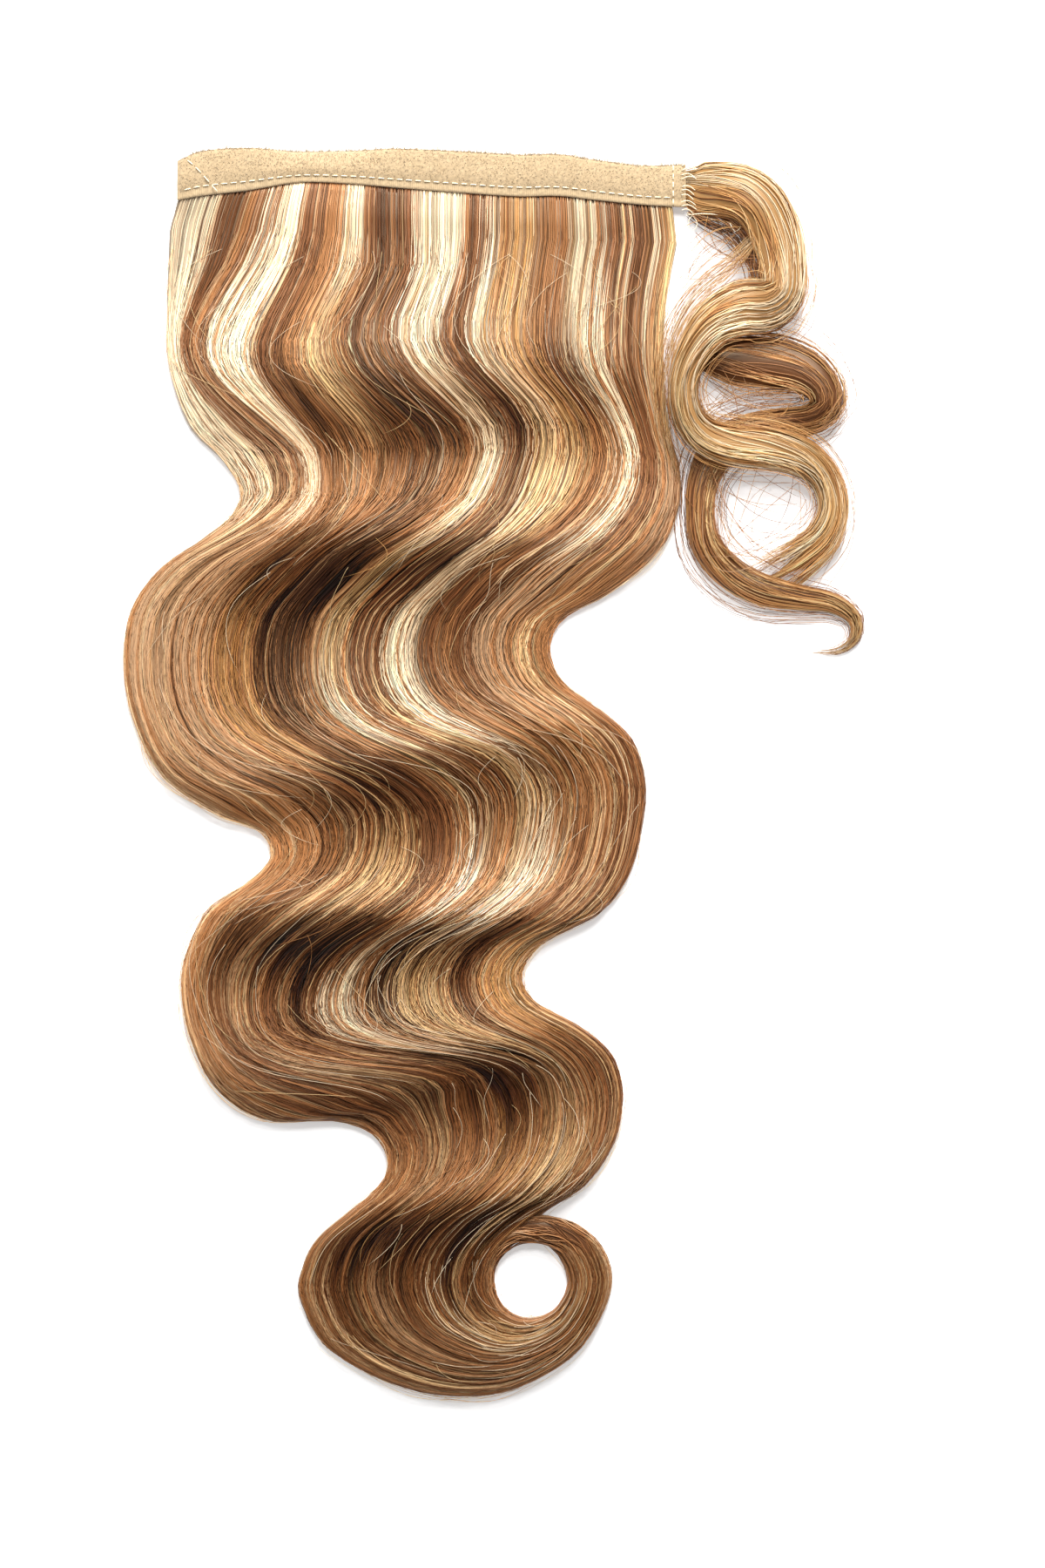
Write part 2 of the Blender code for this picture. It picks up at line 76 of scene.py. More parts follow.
# Fall of hair, as in the CAD source: sections from the weft down and round the end curl.
HAIR_LENGTH = 0.458
HAIR_DEPTH = 0.0165
HAIR_SIDE = 0.0016
CROWN_POWER = 0.4
FallRow = namedtuple("FallRow", "left_across left_down right_across right_down")
FALL_ROWS = [FallRow(*row) for row in (
    (-0.017, 0.029, 0.983, 0.040), (-0.022, 0.089, 0.962, 0.089), (-0.019, 0.139, 0.957, 0.139),
    (0.022, 0.192, 0.968, 0.193), (0.091, 0.222, 0.990, 0.229), (0.125, 0.251, 0.986, 0.262),
    (0.080, 0.276, 0.949, 0.296), (-0.032, 0.308, 0.850, 0.331), (-0.094, 0.344, 0.757, 0.352),
    (-0.109, 0.388, 0.732, 0.377), (-0.091, 0.434, 0.761, 0.405), (-0.031, 0.483, 0.839, 0.429),
    (0.077, 0.514, 0.897, 0.452), (0.166, 0.528, 0.921, 0.483), (0.186, 0.546, 0.921, 0.510),
    (0.144, 0.568, 0.894, 0.560), (0.060, 0.593, 0.832, 0.596), (0.015, 0.629, 0.716, 0.622),
    (0.005, 0.658, 0.677, 0.646), (0.021, 0.697, 0.704, 0.669), (0.074, 0.742, 0.790, 0.689),
    (0.173, 0.768, 0.850, 0.710), (0.332, 0.768, 0.873, 0.732), (0.408, 0.788, 0.877, 0.754),
    (0.405, 0.819, 0.860, 0.787), (0.340, 0.842, 0.802, 0.822), (0.272, 0.867, 0.721, 0.844),
    (0.243, 0.892, 0.641, 0.875), (0.238, 0.914, 0.622, 0.900), (0.294, 0.957, 0.639, 0.921),
    (0.456, 0.991, 0.673, 0.931), (0.610, 0.996, 0.699, 0.932), (0.720, 0.980, 0.726, 0.929),
    (0.802, 0.953, 0.750, 0.921), (0.856, 0.903, 0.768, 0.901), (0.824, 0.866, 0.747, 0.878),
    (0.744, 0.852, 0.713, 0.868), (0.700, 0.856, 0.692, 0.862),
)]

# Waves along the fall. At: thousandths of the middle line's length, from the first section. Depth: share of the
# hair's depth.
WaveRow = namedtuple("WaveRow", "at depth")
WAVE_ROWS = [WaveRow(*row) for row in (
    (0, 0.42), (32, 0.52), (63, 0.70), (87, 0.80), (105, 0.72), (118, 0.64), (137, 0.58), (158, 0.70),
    (176, 0.88), (191, 1.00), (211, 0.88), (237, 0.68), (263, 0.56), (287, 0.56), (316, 0.70), (342, 0.92),
    (357, 1.00), (376, 0.86), (400, 0.64), (421, 0.52), (442, 0.58), (466, 0.84), (483, 0.98), (497, 0.84),
    (518, 0.62), (537, 0.48), (555, 0.60), (574, 0.84), (588, 0.95), (603, 0.82), (624, 0.64), (645, 0.54),
    (666, 0.52), (689, 0.70), (708, 0.90), (718, 0.95), (737, 0.76), (761, 0.58), (784, 0.50), (813, 0.58),
    (842, 0.68), (863, 0.68), (899, 0.54), (920, 0.48), (947, 0.44), (971, 0.36), (990, 0.24), (1000, 0.10),
)]

# Light that the hair loses in the hollows behind its waves, in hundredths, and below 0 where a combed crest
# throws light back. Each row: thousandths of the length, then the hairs whose root share is SHADE_ROOTS.
SHADE_ROOTS = (0.08, 0.30, 0.58, 0.80, 0.95)
SHADE_ROWS = (
    (0, 0, 10, 5, 10, 5), (20, -10, -5, -10, -5, -10), (40, -15, 0, -15, -10, -10),
    (60, -15, -10, -18, 0, -15), (75, -15, -5, -15, 35, -10), (85, -10, 15, 5, 55, 25),
    (95, 0, 65, 38, 60, 38), (110, 12, 92, 54, 50, 38), (125, 25, 88, 44, 5, 5), (140, 30, 58, 5, -5, -5),
    (150, 30, 5, -10, -10, -10), (165, 10, -5, -10, -10, -10), (180, -5, 10, -5, -10, -10),
    (190, -5, 30, 10, 5, 0), (200, 0, 65, 60, 20, 10), (215, 25, 70, 85, 25, 15), (235, 36, 78, 85, 20, 20),
    (255, 22, 78, 60, 25, 30), (270, 12, 40, 35, 25, 30), (290, 14, 15, 20, 15, 10), (310, 13, 0, 0, 0, -5),
    (330, 2, -15, -20, -10, -10), (345, -15, -30, -30, -20, -10), (355, -10, -10, 0, 30, 10),
    (365, 10, 50, 55, 65, 30), (380, 60, 60, 65, 65, 35), (400, 45, 50, 50, 50, 30),
    (420, 25, 30, 35, 35, 20), (440, 15, -5, 5, 5, 20), (460, 10, -30, -30, -30, 30),
    (475, 10, -25, -25, -25, 40), (485, 35, 10, 15, 10, 50), (495, 55, 75, 85, 80, 45),
    (510, 60, 100, 100, 95, 35), (525, 50, 70, 75, 45, 20), (545, 30, 25, 20, 0, 0),
    (562, 0, -10, -5, -20, -10), (578, -20, -30, -20, -30, -15), (590, -10, 0, 20, -25, -5),
    (600, 10, 45, 90, 30, 20), (612, 20, 70, 100, 70, 40), (630, 30, 60, 90, 60, 40),
    (650, 30, 50, 70, 45, 30), (670, 20, 30, 35, 30, 20), (690, 0, 0, -5, 0, 0),
    (705, -5, -10, -25, -25, -10), (718, 10, 20, -15, -25, 0), (730, 50, 75, 50, 30, 20),
    (745, 75, 95, 90, 80, 50), (765, 70, 80, 75, 80, 60), (785, 40, 45, 50, 55, 50),
    (812, 15, 20, 25, 35, 30), (840, 10, 15, 0, -10, 0), (863, 35, 20, -5, -15, -10),
    (899, 45, 30, 10, -5, 0), (920, 40, 35, 20, 5, 5), (947, 40, 40, 30, 20, 10), (971, 40, 40, 35, 25, 20),
    (1000, 60, 60, 55, 50, 50),
)

# How far the hairs of a place across the fall drift towards its right edge on their way down, in thousandths of
# the width there. Each row: thousandths of the length, then the drift of the hairs whose root share is one of
# SWAY_ROOTS between its ends, as the outermost hairs keep to the edges. ROOT_DRIFT, as shares of the width, is
# added on the way up to the tape.
SWAY_ROOTS = (0.0, 0.05, 0.20, 0.40, 0.60, 0.80, 1.0)
ROOT_DRIFT = (0.0, 0.012, 0.0, -0.01, 0.0, 0.0, 0.0)
SWAY_ROWS = (
    (0, 100, 90, 30, 10, 0), (13, 88, 86, 55, 15, 0), (26, 60, 74, 45, 12, 0), (40, 28, 48, 15, 5, 0),
    (60, 6, 18, -10, -10, 0), (79, 6, 4, 20, 15, 0), (92, 30, 20, 35, 60, 30), (105, 72, 60, 105, 105, 70),
    (118, 108, 80, 140, 115, 80), (132, 118, 65, 115, 75, 70), (145, 100, 30, 75, 45, 50),
    (158, 80, 10, 50, 15, 30), (171, 55, 0, 0, 0, 0), (184, 40, 0, -25, -20, -30),
    (197, 20, 5, -60, -45, -60), (211, 10, 5, -60, -45, -70), (237, 0, 10, -30, -35, -40),
    (263, 0, 10, -30, -20, 0), (290, 0, 5, -30, -25, 5), (316, 0, 0, -40, -30, 10),
    (329, 0, 10, -30, -25, 20), (342, 0, 40, 0, -5, 25), (355, 20, 90, 40, 65, 40),
    (368, 60, 110, 45, 80, 40), (382, 50, 130, 60, 85, 40), (395, 0, 100, 55, 85, 45),
    (408, -20, 70, 35, 70, 45), (421, -10, 50, 35, 55, 35), (435, 0, 70, 65, 65, 45),
    (447, 0, 80, 75, 70, 45), (462, 0, 70, 90, 75, 45), (480, 0, 60, 85, 55, 30), (510, 0, 10, 30, 20, 25),
    (540, 0, -20, -20, 0, 30), (560, 10, -30, -65, -30, 10), (575, 20, -20, 0, -15, 0),
    (583, 30, 70, 150, 60, 20), (592, 60, 250, 230, 130, 50), (605, 120, 330, 290, 180, 60),
    (618, 140, 320, 280, 200, 60), (632, 100, 250, 240, 180, 50), (645, 40, 150, 200, 140, 30),
    (663, -20, 60, 140, 100, 20), (690, -10, 50, 120, 80, 10), (750, 0, 40, 100, 80, 10),
    (790, 20, 80, 160, 120, 30), (1000, 20, 80, 140, 110, 30),
)

# Wrapping tress: centre lines as in the CAD source, and in places wider and deeper, as the hairs spread there.
TRESS_REACH = 0.0667
TRESS_TUCK = 0.0066
TRESS_DROP = 0.178
TRESS_LIFT = 0.020
TRESS_WIDTH = 0.0211
TRESS_DEPTH = 0.0130
TRESS_HEAD_LENGTH = 0.0046
TressRow = namedtuple("TressRow", "across down lift wide deep")
FRONT_LOCK = [TressRow(*row) for row in (
    (0.084, 0.005, 0.265, 0.94, 0.34), (0.203, 0.008, 0.400, 0.98, 0.58), (0.332, 0.020, 0.475, 1.00, 0.70),
    (0.436, 0.052, 0.500, 0.98, 0.72), (0.515, 0.112, 0.480, 0.92, 0.72), (0.550, 0.176, 0.460, 0.82, 0.84),
    (0.542, 0.232, 0.580, 0.82, 0.96), (0.455, 0.260, 0.740, 1.00, 0.80), (0.307, 0.268, 0.850, 1.02, 0.62),
    (0.139, 0.304, 0.820, 0.78, 0.66), (0.025, 0.367, 0.740, 0.58, 0.80),
    (-0.230, 0.433, 0.690, 0.52, 0.88), (0.010, 0.500, 0.640, 0.56, 0.86),
    (0.104, 0.539, 0.600, 0.66, 0.76), (0.257, 0.556, 0.585, 0.74, 0.64), (0.480, 0.562, 0.560, 0.76, 0.58),
    (0.668, 0.583, 0.510, 0.68, 0.62), (0.790, 0.626, 0.455, 0.56, 0.78), (0.836, 0.690, 0.405, 0.56, 0.90),
    (0.785, 0.750, 0.330, 0.66, 0.74), (0.668, 0.793, 0.230, 0.78, 0.48), (0.535, 0.828, 0.155, 0.90, 0.32),
    (0.380, 0.856, 0.105, 0.80, 0.22),
)]
TAIL_LOCK = [TressRow(*row) for row in (
    (0.520, 0.144, 0.440, 0.30, 0.44), (0.480, 0.209, 0.290, 0.36, 0.52), (0.347, 0.259, 0.235, 0.38, 0.48),
    (0.188, 0.300, 0.230, 0.34, 0.50), (0.085, 0.338, 0.250, 0.30, 0.58), (0.120, 0.366, 0.300, 0.50, 0.60),
    (0.257, 0.371, 0.350, 0.92, 0.58), (0.455, 0.376, 0.400, 1.04, 0.56), (0.645, 0.390, 0.425, 0.92, 0.62),
    (0.770, 0.424, 0.425, 0.74, 0.80), (0.806, 0.468, 0.400, 0.64, 0.88), (0.720, 0.498, 0.300, 0.56, 0.68),
    (0.554, 0.508, 0.210, 0.56, 0.42), (0.356, 0.522, 0.175, 0.60, 0.34), (0.203, 0.556, 0.175, 0.66, 0.36),
    (0.108, 0.617, 0.220, 0.58, 0.48), (0.080, 0.691, 0.225, 0.50, 0.56), (0.114, 0.765, 0.205, 0.54, 0.50),
    (0.243, 0.824, 0.185, 0.60, 0.42), (0.431, 0.862, 0.265, 0.58, 0.34), (0.653, 0.878, 0.210, 0.46, 0.34),
    (0.842, 0.889, 0.155, 0.38, 0.34), (0.965, 0.922, 0.125, 0.28, 0.34), (0.970, 0.963, 0.105, 0.20, 0.28),
    (0.876, 0.991, 0.085, 0.14, 0.22), (0.703, 0.993, 0.055, 0.05, 0.10),
)]

# Dye shades of the hair and the colour of the thread, sRGB. Dark brown also serves as painted shade, in the waves'
# hollows and under the tress's first arc.
PLATINUM = "F8E1BE"
BLOND = "EAC68F"
GOLD = "D6A062"
CARAMEL = "B77E4E"
BEIGE = "C9A17A"
BROWN = "845230"
DARK_BROWN = "5C381F"
THREAD_BEIGE = "EADBB6"

# Smooth noises over the root share and the length: share, cells both ways, seed. They are the height of the locks
# in millimetres, a strand's place in its own shades, and its tone.
RELIEF_LAYERS = ((0.9, (15, 9), 11), (0.75, (48, 12), 12), (0.35, (150, 20), 13))
SHADE_LAYERS = ((0.30, (60, 5), 24), (0.24, (210, 4), 28))
TONE_LAYERS = ((0.17, (130, 6), 29), (0.17, (270, 9), 30))
# How far a strand differs by itself in shade, in tone, and in the sides and the start of its streak.
SHADE_SPREAD, TONE_SPREAD, SIDE_SPREAD, START_SPREAD = 0.10, 0.15, 0.006, 0.025
# A streak's sides move by noise, and more further down. Whether a strand takes the streak's shade is noise too, and
# more strands keep their own further down, with a soft change between both.
SIDE_NOISE, SIDE_GROWTH = 0.008, 1.2
LOYAL_NOISE, LOYAL_SPREAD = 0.75, 0.14
MIX_GROWTH, MIX_FADE = 0.9, 0.16
# A strand's own shades, from dark to pale.
OWN_SHADES = (DARK_BROWN, BROWN, CARAMEL, CARAMEL, BEIGE, BLOND, PLATINUM)
# Shares of the width and of the length over which a streak fades out.
STREAK_SIDE_FADE, STREAK_START_FADE, STREAK_END_FADE = 0.010, 0.03, 0.06
# Light lost in a wave's hollow and in a groove between locks, how much less of it pale hair loses, and the depth
# of relief at which a groove is darkest.
HOLLOW_LOSS, HOLLOW_PALE = 0.92, 0.42
GROOVE_LOSS, GROOVE_PALE, GROOVE_DEPTH = 0.50, 0.22, 1.2 * MM
# The fall's lower part is darker: light above, light lost below, and the shares of the length where that sets in.
UPPER_LIGHT, LOWER_LOSS, LOWER_FROM, LOWER_OVER = 1.05, 0.25, 0.52, 0.08
# Shadowed hair turns warmer, as green falls with this power of the light and blue with the next.
GREEN_POWER, BLUE_POWER = 1.27, 1.6
DARKEST = 0.004

# Dyed streaks across the fall, in thousandths: from the left to the right of the width at the roots, and from start
# to end of the length, then the shade. Some dark-brown rows also paint shade into the waves' hollows. Rows that come
# later lie over earlier ones.
Streak = namedtuple("Streak", "left right start end shade")
STREAKS = [Streak(*(place / 1000 for place in row[:4]), row[4]) for row in (
    (0, 25, -60, 190, PLATINUM), (25, 72, -60, 175, BROWN), (72, 160, -60, 195, PLATINUM),
    (72, 112, -60, 0, BROWN), (160, 212, -60, 150, BROWN), (212, 268, -60, 150, CARAMEL),
    (268, 325, -60, 42, PLATINUM), (250, 335, 42, 66, CARAMEL), (262, 330, 66, 100, BLOND),
    # The dark-brown rows from 84 to 150 lie in a wave's hollow: brown dye there, darkened further as painted shade.
    (335, 458, -60, 150, BROWN), (395, 435, 50, 84, BEIGE), (345, 440, 86, 150, DARK_BROWN),
    (175, 215, 84, 130, DARK_BROWN), (458, 552, -60, 105, PLATINUM), (500, 545, 105, 200, PLATINUM),
    (552, 615, -60, 200, BROWN), (605, 640, 5, 100, PLATINUM), (640, 690, 45, 100, PLATINUM),
    (650, 725, -60, 50, GOLD), (690, 740, 50, 200, GOLD), (725, 800, -60, 70, CARAMEL),
    (740, 810, 70, 125, BROWN), (810, 872, -60, 220, PLATINUM), (872, 945, -60, 70, BROWN),
    (872, 940, 70, 200, BROWN), (945, 966, -60, 130, PLATINUM), (966, 980, -60, 110, CARAMEL),
    (980, 1000, -60, 130, BLOND), (170, 470, 145, 195, CARAMEL), (340, 410, 160, 190, BROWN),
    (630, 740, 130, 200, BLOND), (740, 810, 125, 200, CARAMEL), (940, 1000, 130, 210, BEIGE),
    (0, 180, 200, 360, BEIGE), (180, 330, 200, 262, BROWN), (190, 350, 265, 355, GOLD),
    (335, 470, 190, 330, DARK_BROWN), (505, 552, 200, 330, BLOND), (465, 550, 310, 355, PLATINUM),
    (552, 620, 200, 355, BROWN), (628, 690, 195, 355, PLATINUM), (690, 820, 200, 345, BROWN),
    (730, 780, 260, 350, CARAMEL), (820, 900, 200, 350, BEIGE), (900, 1000, 200, 350, CARAMEL),
    (925, 960, 265, 345, BLOND), (0, 100, 360, 480, CARAMEL), (150, 270, 360, 430, BROWN),
    (282, 318, 360, 430, BLOND), (190, 370, 430, 485, BLOND), (345, 445, 350, 485, BROWN),
    (452, 495, 355, 425, BLOND), (460, 540, 425, 485, PLATINUM), (500, 600, 355, 430, BROWN),
    (545, 600, 430, 485, CARAMEL), (600, 640, 355, 400, BLOND), (635, 690, 400, 430, BLOND),
    (630, 760, 430, 485, PLATINUM), (700, 900, 355, 430, CARAMEL), (780, 900, 430, 485, BROWN),
    # The dark-brown rows from 485 on lie in a wave's hollow: brown dye there, darkened further as painted shade.
    (900, 1000, 355, 500, BROWN), (80, 420, 485, 545, DARK_BROWN), (80, 420, 545, 600, BROWN),
    (430, 540, 530, 590, PLATINUM), (550, 625, 485, 600, DARK_BROWN), (630, 755, 530, 600, BLOND),
    (755, 850, 485, 600, BROWN), (850, 1000, 520, 600, GOLD), (0, 550, 600, 680, BROWN),
    (550, 800, 600, 670, BEIGE), (800, 1000, 600, 680, BROWN), (350, 600, 685, 725, GOLD),
    (620, 900, 685, 728, BLOND), (0, 300, 690, 720, CARAMEL), (50, 950, 730, 800, BROWN),
    (250, 330, 790, 845, BEIGE), (580, 900, 830, 890, BLOND),
)]


def smooth_rows(rows, keys, at):
    """Cubic Hermite curve through the rows, whose tangents span each row's two neighbours, read at these keys."""
    rows, keys, at = np.asarray(rows, float), np.asarray(keys, float), np.asarray(at, float)
    slopes = np.empty_like(rows)
    slopes[1:-1] = (rows[2:] - rows[:-2]) / (keys[2:] - keys[:-2])[:, None]
    slopes[0] = (rows[1] - rows[0]) / (keys[1] - keys[0])
    slopes[-1] = (rows[-1] - rows[-2]) / (keys[-1] - keys[-2])
    span = np.clip(np.searchsorted(keys, at, side="right") - 1, 0, len(keys) - 2)
    width = (keys[span + 1] - keys[span])[:, None]
    s = (at - keys[span])[:, None] / width
    start, end = rows[span], rows[span + 1]
    leave, arrive = slopes[span] * width, slopes[span + 1] * width
    return (
        (2 * s**3 - 3 * s**2 + 1) * start
        + (s**3 - 2 * s**2 + s) * leave
        + (3 * s**2 - 2 * s**3) * end
        + (s**3 - s**2) * arrive
    )


def run_length(points):
    """Distance along a row of points from the first one."""
    steps = np.linalg.norm(np.diff(points, axis=0), axis=1)
    return np.concatenate([[0.0], np.cumsum(steps)])


def smoothed(table, spread):
    """Table blurred down its rows by a bell curve of this many rows' spread, its ends held."""
    reach = np.arange(-3 * spread, 3 * spread + 1)
    bell = np.exp(-0.5 * (reach / spread) ** 2)
    bell /= bell.sum()
    padded = np.pad(table, ((3 * spread, 3 * spread), (0, 0)), mode="edge")
    return np.stack([np.convolve(column, bell, mode="valid") for column in padded.T], axis=1)


def ease(s):
    """Smooth step from 0 to 1: 3 s^2 - 2 s^3, held flat outside."""
    s = np.clip(s, 0, 1)
    return s * s * (3 - 2 * s)


def soft_noise(across, along, cells, seed):
    """Smooth noise from -1 to 1: random heights at the corners of cells, eased between them both ways."""
    heights = np.random.default_rng(seed).uniform(-1, 1, (cells[0] + 2, cells[1] + 2))
    x, y = np.clip(across, 0, 1) * cells[0], np.clip(along, 0, 1) * cells[1]
    i, j = x.astype(int), y.astype(int)
    fx, fy = ease(x - i), ease(y - j)
    near = heights[i, j] * (1 - fx) + heights[i + 1, j] * fx
    far = heights[i, j + 1] * (1 - fx) + heights[i + 1, j + 1] * fx
    return near * (1 - fy) + far * fy


def layered_noise(across, along, layers):
    """Sum of smooth noises, of which each has its share, its cells both ways and its seed."""
    return sum(share * soft_noise(across, along, cells, seed) for share, cells, seed in layers)


def linear(hexes):
    """Linear colour of an sRGB hex value: the sRGB curve undone, channel by channel."""
    srgb = np.array([int(hexes[i : i + 2], 16) for i in (0, 2, 4)]) / 255
    return np.where(srgb <= 0.04045, srgb / 12.92, ((srgb + 0.055) / 1.055) ** 2.4)


def tape_edges(along):
    """Upper edge, lower edge and roll of the tape at these shares of its length, as in the CAD source."""
    rows = np.array(TAPE_ROWS)
    chord = (rows[:, 1] - rows[:, 2]) * TAPE_WIDTH
    slack = np.clip(TAPE_WIDTH - chord - TAPE_GIVE * TAPE_WIDTH, 0, None)
    roll = np.sqrt(1.5 * slack * (1 - TAPE_ROLL_START) * chord)
    table = np.column_stack([rows[:, 1] * TAPE_WIDTH, rows[:, 2] * TAPE_WIDTH, roll])
    upper, lower, roll = smooth_rows(table, rows[:, 0], np.ravel(along)).T
    shape = np.shape(along)
    roll = np.clip(roll, 0, TAPE_BOTTOM - TAPE_EDGE_CLEARANCE)
    return upper.reshape(shape), lower.reshape(shape), roll.reshape(shape)


# The tape's left end and its lowest edge tie the tables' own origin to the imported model's.
tape_low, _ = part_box("loop_tape")
SHIFT = np.array([tape_low[0], tape_low[1] - tape_edges(np.linspace(0, 1, 44))[1].min(), 0.0])

# The photo's scale, and the pixel where the tape's left end meets the weft line.
PIXEL = 0.33 * MM
TAPE_END_PX = (203, 222)

# The photo is 1200 x 1800 px, and its middle lies here on the table.
FRAME_HEIGHT = 1800 * PIXEL
PHOTO_CENTRE = ((600 - TAPE_END_PX[0]) * PIXEL + SHIFT[0], (TAPE_END_PX[1] - 900) * PIXEL + SHIFT[1])

# Thin locks beside the main ones. Pixels across and down, then height, half width and half depth in millimetres.
CURL_END = [
    (686, 1466, 3.4, 3.4, 1.8), (667, 1432, 4.6, 5.8, 2.4), (641, 1416, 5.0, 5.4, 2.4), (613, 1411, 5.0, 5.0, 2.2),
    (586, 1417, 4.6, 4.8, 2.0), (565, 1436, 4.0, 4.4, 1.8), (553, 1462, 3.4, 3.6, 1.4),
]
# Light along the locks of the tress, less where they turn down or pass under one another: share of the run, light.
FRONT_LIGHTS = (
    (0.00, 0.60), (0.04, 0.70), (0.09, 0.98), (0.14, 0.80), (0.20, 0.98), (0.25, 0.78), (0.29, 0.52), (0.33, 0.80),
    (0.38, 1.16), (0.43, 0.86), (0.48, 0.66), (0.54, 0.60), (0.59, 0.86), (0.65, 1.12), (0.70, 0.90), (0.76, 0.66),
    (0.83, 0.84), (0.89, 1.14), (0.95, 1.06), (1.00, 0.80),
)
TAIL_LIGHTS = (
    (0.00, 0.50), (0.13, 0.50), (0.19, 0.72), (0.25, 1.20), (0.29, 1.10), (0.34, 0.66), (0.40, 0.62), (0.46, 1.00),
    (0.51, 0.80), (0.57, 0.86), (0.63, 1.00), (0.70, 0.86), (0.77, 0.76), (0.83, 0.92), (0.90, 0.74), (1.00, 0.66),
)
# Hairs under the tress's first arc: brown hair, drawn in dark browns below as painted shade under the arc.
TRESS_UNDERSIDE = [
    (792, 238, 4.2, 3.0, 1.6), (815, 248, 5.2, 5.6, 1.9), (842, 262, 6.0, 6.2, 2.0), (861, 284, 6.4, 6.0, 2.0),
    (871, 310, 6.8, 5.4, 2.0), (872, 335, 7.0, 4.8, 1.8), (858, 355, 7.6, 3.6, 1.6),
]
TRESS_VEIL = [
    (866, 276, 9.5, 2.6, 1.6), (840, 304, 9.0, 4.0, 1.6), (805, 334, 8.5, 5.0, 1.4), (778, 372, 8.0, 5.0, 1.4),
    (766, 420, 7.0, 4.6, 1.4), (764, 475, 6.0, 4.2, 1.4), (772, 525, 5.0, 3.6, 1.2), (788, 566, 4.0, 2.6, 1.0),
]

# Stray hairs across the tress's loops: pixels of both ends, how far they bow, how far they scatter, and how many.
LooseArc = namedtuple("LooseArc", "from_x from_y to_x to_y bow scatter count")
LOOSE_ARCS = [LooseArc(*row) for row in (
    (868, 268, 780, 330, 14, 8, 14), (806, 262, 856, 292, 10, 8, 7), (800, 410, 905, 462, 22, 11, 16),
    (812, 470, 925, 445, -12, 11, 12), (800, 400, 860, 470, -18, 10, 8), (818, 528, 925, 600, 22, 14, 9),
    (812, 560, 900, 650, 18, 15, 10), (938, 556, 830, 640, -22, 14, 9), (880, 525, 842, 630, 14, 15, 5),
    (815, 380, 900, 410, -14, 10, 12),
)]

# Steps of the tables along and across the fall, and how many steps the shade's and the sway's rows are blurred by.
FINE = 1901
SWAY_STEPS = 201
SHADE_BLUR, SWAY_BLUR = 6, 22
fine_at = np.linspace(0, 1, FINE)
rows = np.array(FALL_ROWS)
row_left = np.column_stack([rows[:, 0] * TAPE_LENGTH, -rows[:, 1] * HAIR_LENGTH])
row_right = np.column_stack([rows[:, 2] * TAPE_LENGTH, -rows[:, 3] * HAIR_LENGTH])
row_keys = run_length((row_left + row_right) / 2)
FALL_RUN = row_keys[-1]
edge_table = smooth_rows(np.column_stack([row_left, row_right]), row_keys, fine_at * FALL_RUN)
wave_table = smooth_rows(np.array(WAVE_ROWS)[:, 1:], np.array(WAVE_ROWS)[:, 0] / 1000, fine_at)
shade_rows = np.array(SHADE_ROWS)
shade_table = smoothed(smooth_rows(shade_rows[:, 1:] / 100, shade_rows[:, 0] / 1000, fine_at), SHADE_BLUR)
sway_at = np.linspace(0, 1, SWAY_STEPS)
sway_rows = np.array(SWAY_ROWS)
sway_drift = np.pad(sway_rows[:, 1:] / 1000, ((0, 0), (1, 1)))
sway_along = smoothed(smooth_rows(sway_drift, sway_rows[:, 0] / 1000, fine_at), SWAY_BLUR)
share_table = smooth_rows(sway_along.T + np.array(SWAY_ROOTS)[:, None], SWAY_ROOTS, sway_at)
share_table = np.maximum.accumulate(np.clip(share_table, 0, 1), axis=0)
# Rank of a root share in the row of all strands: strands lie closer where the sway spreads them out.
strand_rank = np.concatenate([[0], np.cumsum(np.diff(share_table, axis=0).max(axis=1))])
strand_rank /= strand_rank[-1]

# Length of hair between the first section and the tape's edge, which it goes under.
ROOT_RUN = 0.0145
ROOT_START = -ROOT_RUN / FALL_RUN
ROOT_TUCK = 0.0022
# Bare tape at the right end of the weft, and the height at which the hairs run under the tape.
WEFT_END_GAP = 5.4 * MM
ROOT_BED = WEFT_TOP + 0.12 * MM
# Power by which the hairs turn in towards the weft, and the shares of their rise where they dip to its height.
ROOT_BEND = 1.3
ROOT_DIP_FROM, ROOT_DIP_OVER = 0.46, 0.38
# The locks' relief fades within this share of the width from an edge, and where the hair is thinner than this.
RELIEF_EDGE, RELIEF_DEPTH = 0.05, 0.4 * HAIR_DEPTH

# Noise cells across a layer, so many that each strand drifts by itself.
STRAND_CELLS = 997


def read_table(table, at):
    """Value of a column of the fine table at these shares of the fall's length, straight between its rows."""
    place = np.clip(at, 0, 1) * (FINE - 1)
    i = np.minimum(place.astype(int), FINE - 2)
    part = place - i
    return table[i] * (1 - part) + table[i + 1] * part


def share_across(root, at):
    """Share across the fall where the hairs with this root share are, from the sway table, straight between steps."""
    x = np.clip(root, 0, 1) * (SWAY_STEPS - 1)
    i = np.minimum(x.astype(int), SWAY_STEPS - 2)
    y = np.clip(at, 0, 1) * (FINE - 1)
    j = np.minimum(y.astype(int), FINE - 2)
    fx, fy = x - i, y - j
    near = share_table[i, j] * (1 - fx) + share_table[i + 1, j] * fx
    far = share_table[i, j + 1] * (1 - fx) + share_table[i + 1, j + 1] * fx
    return near * (1 - fy) + far * fy


def lock_relief(root, at):
    """Height of locks, thinner locks and single strands in metres: three smooth noises of growing number."""
    return MM * layered_noise(root, at, RELIEF_LAYERS)


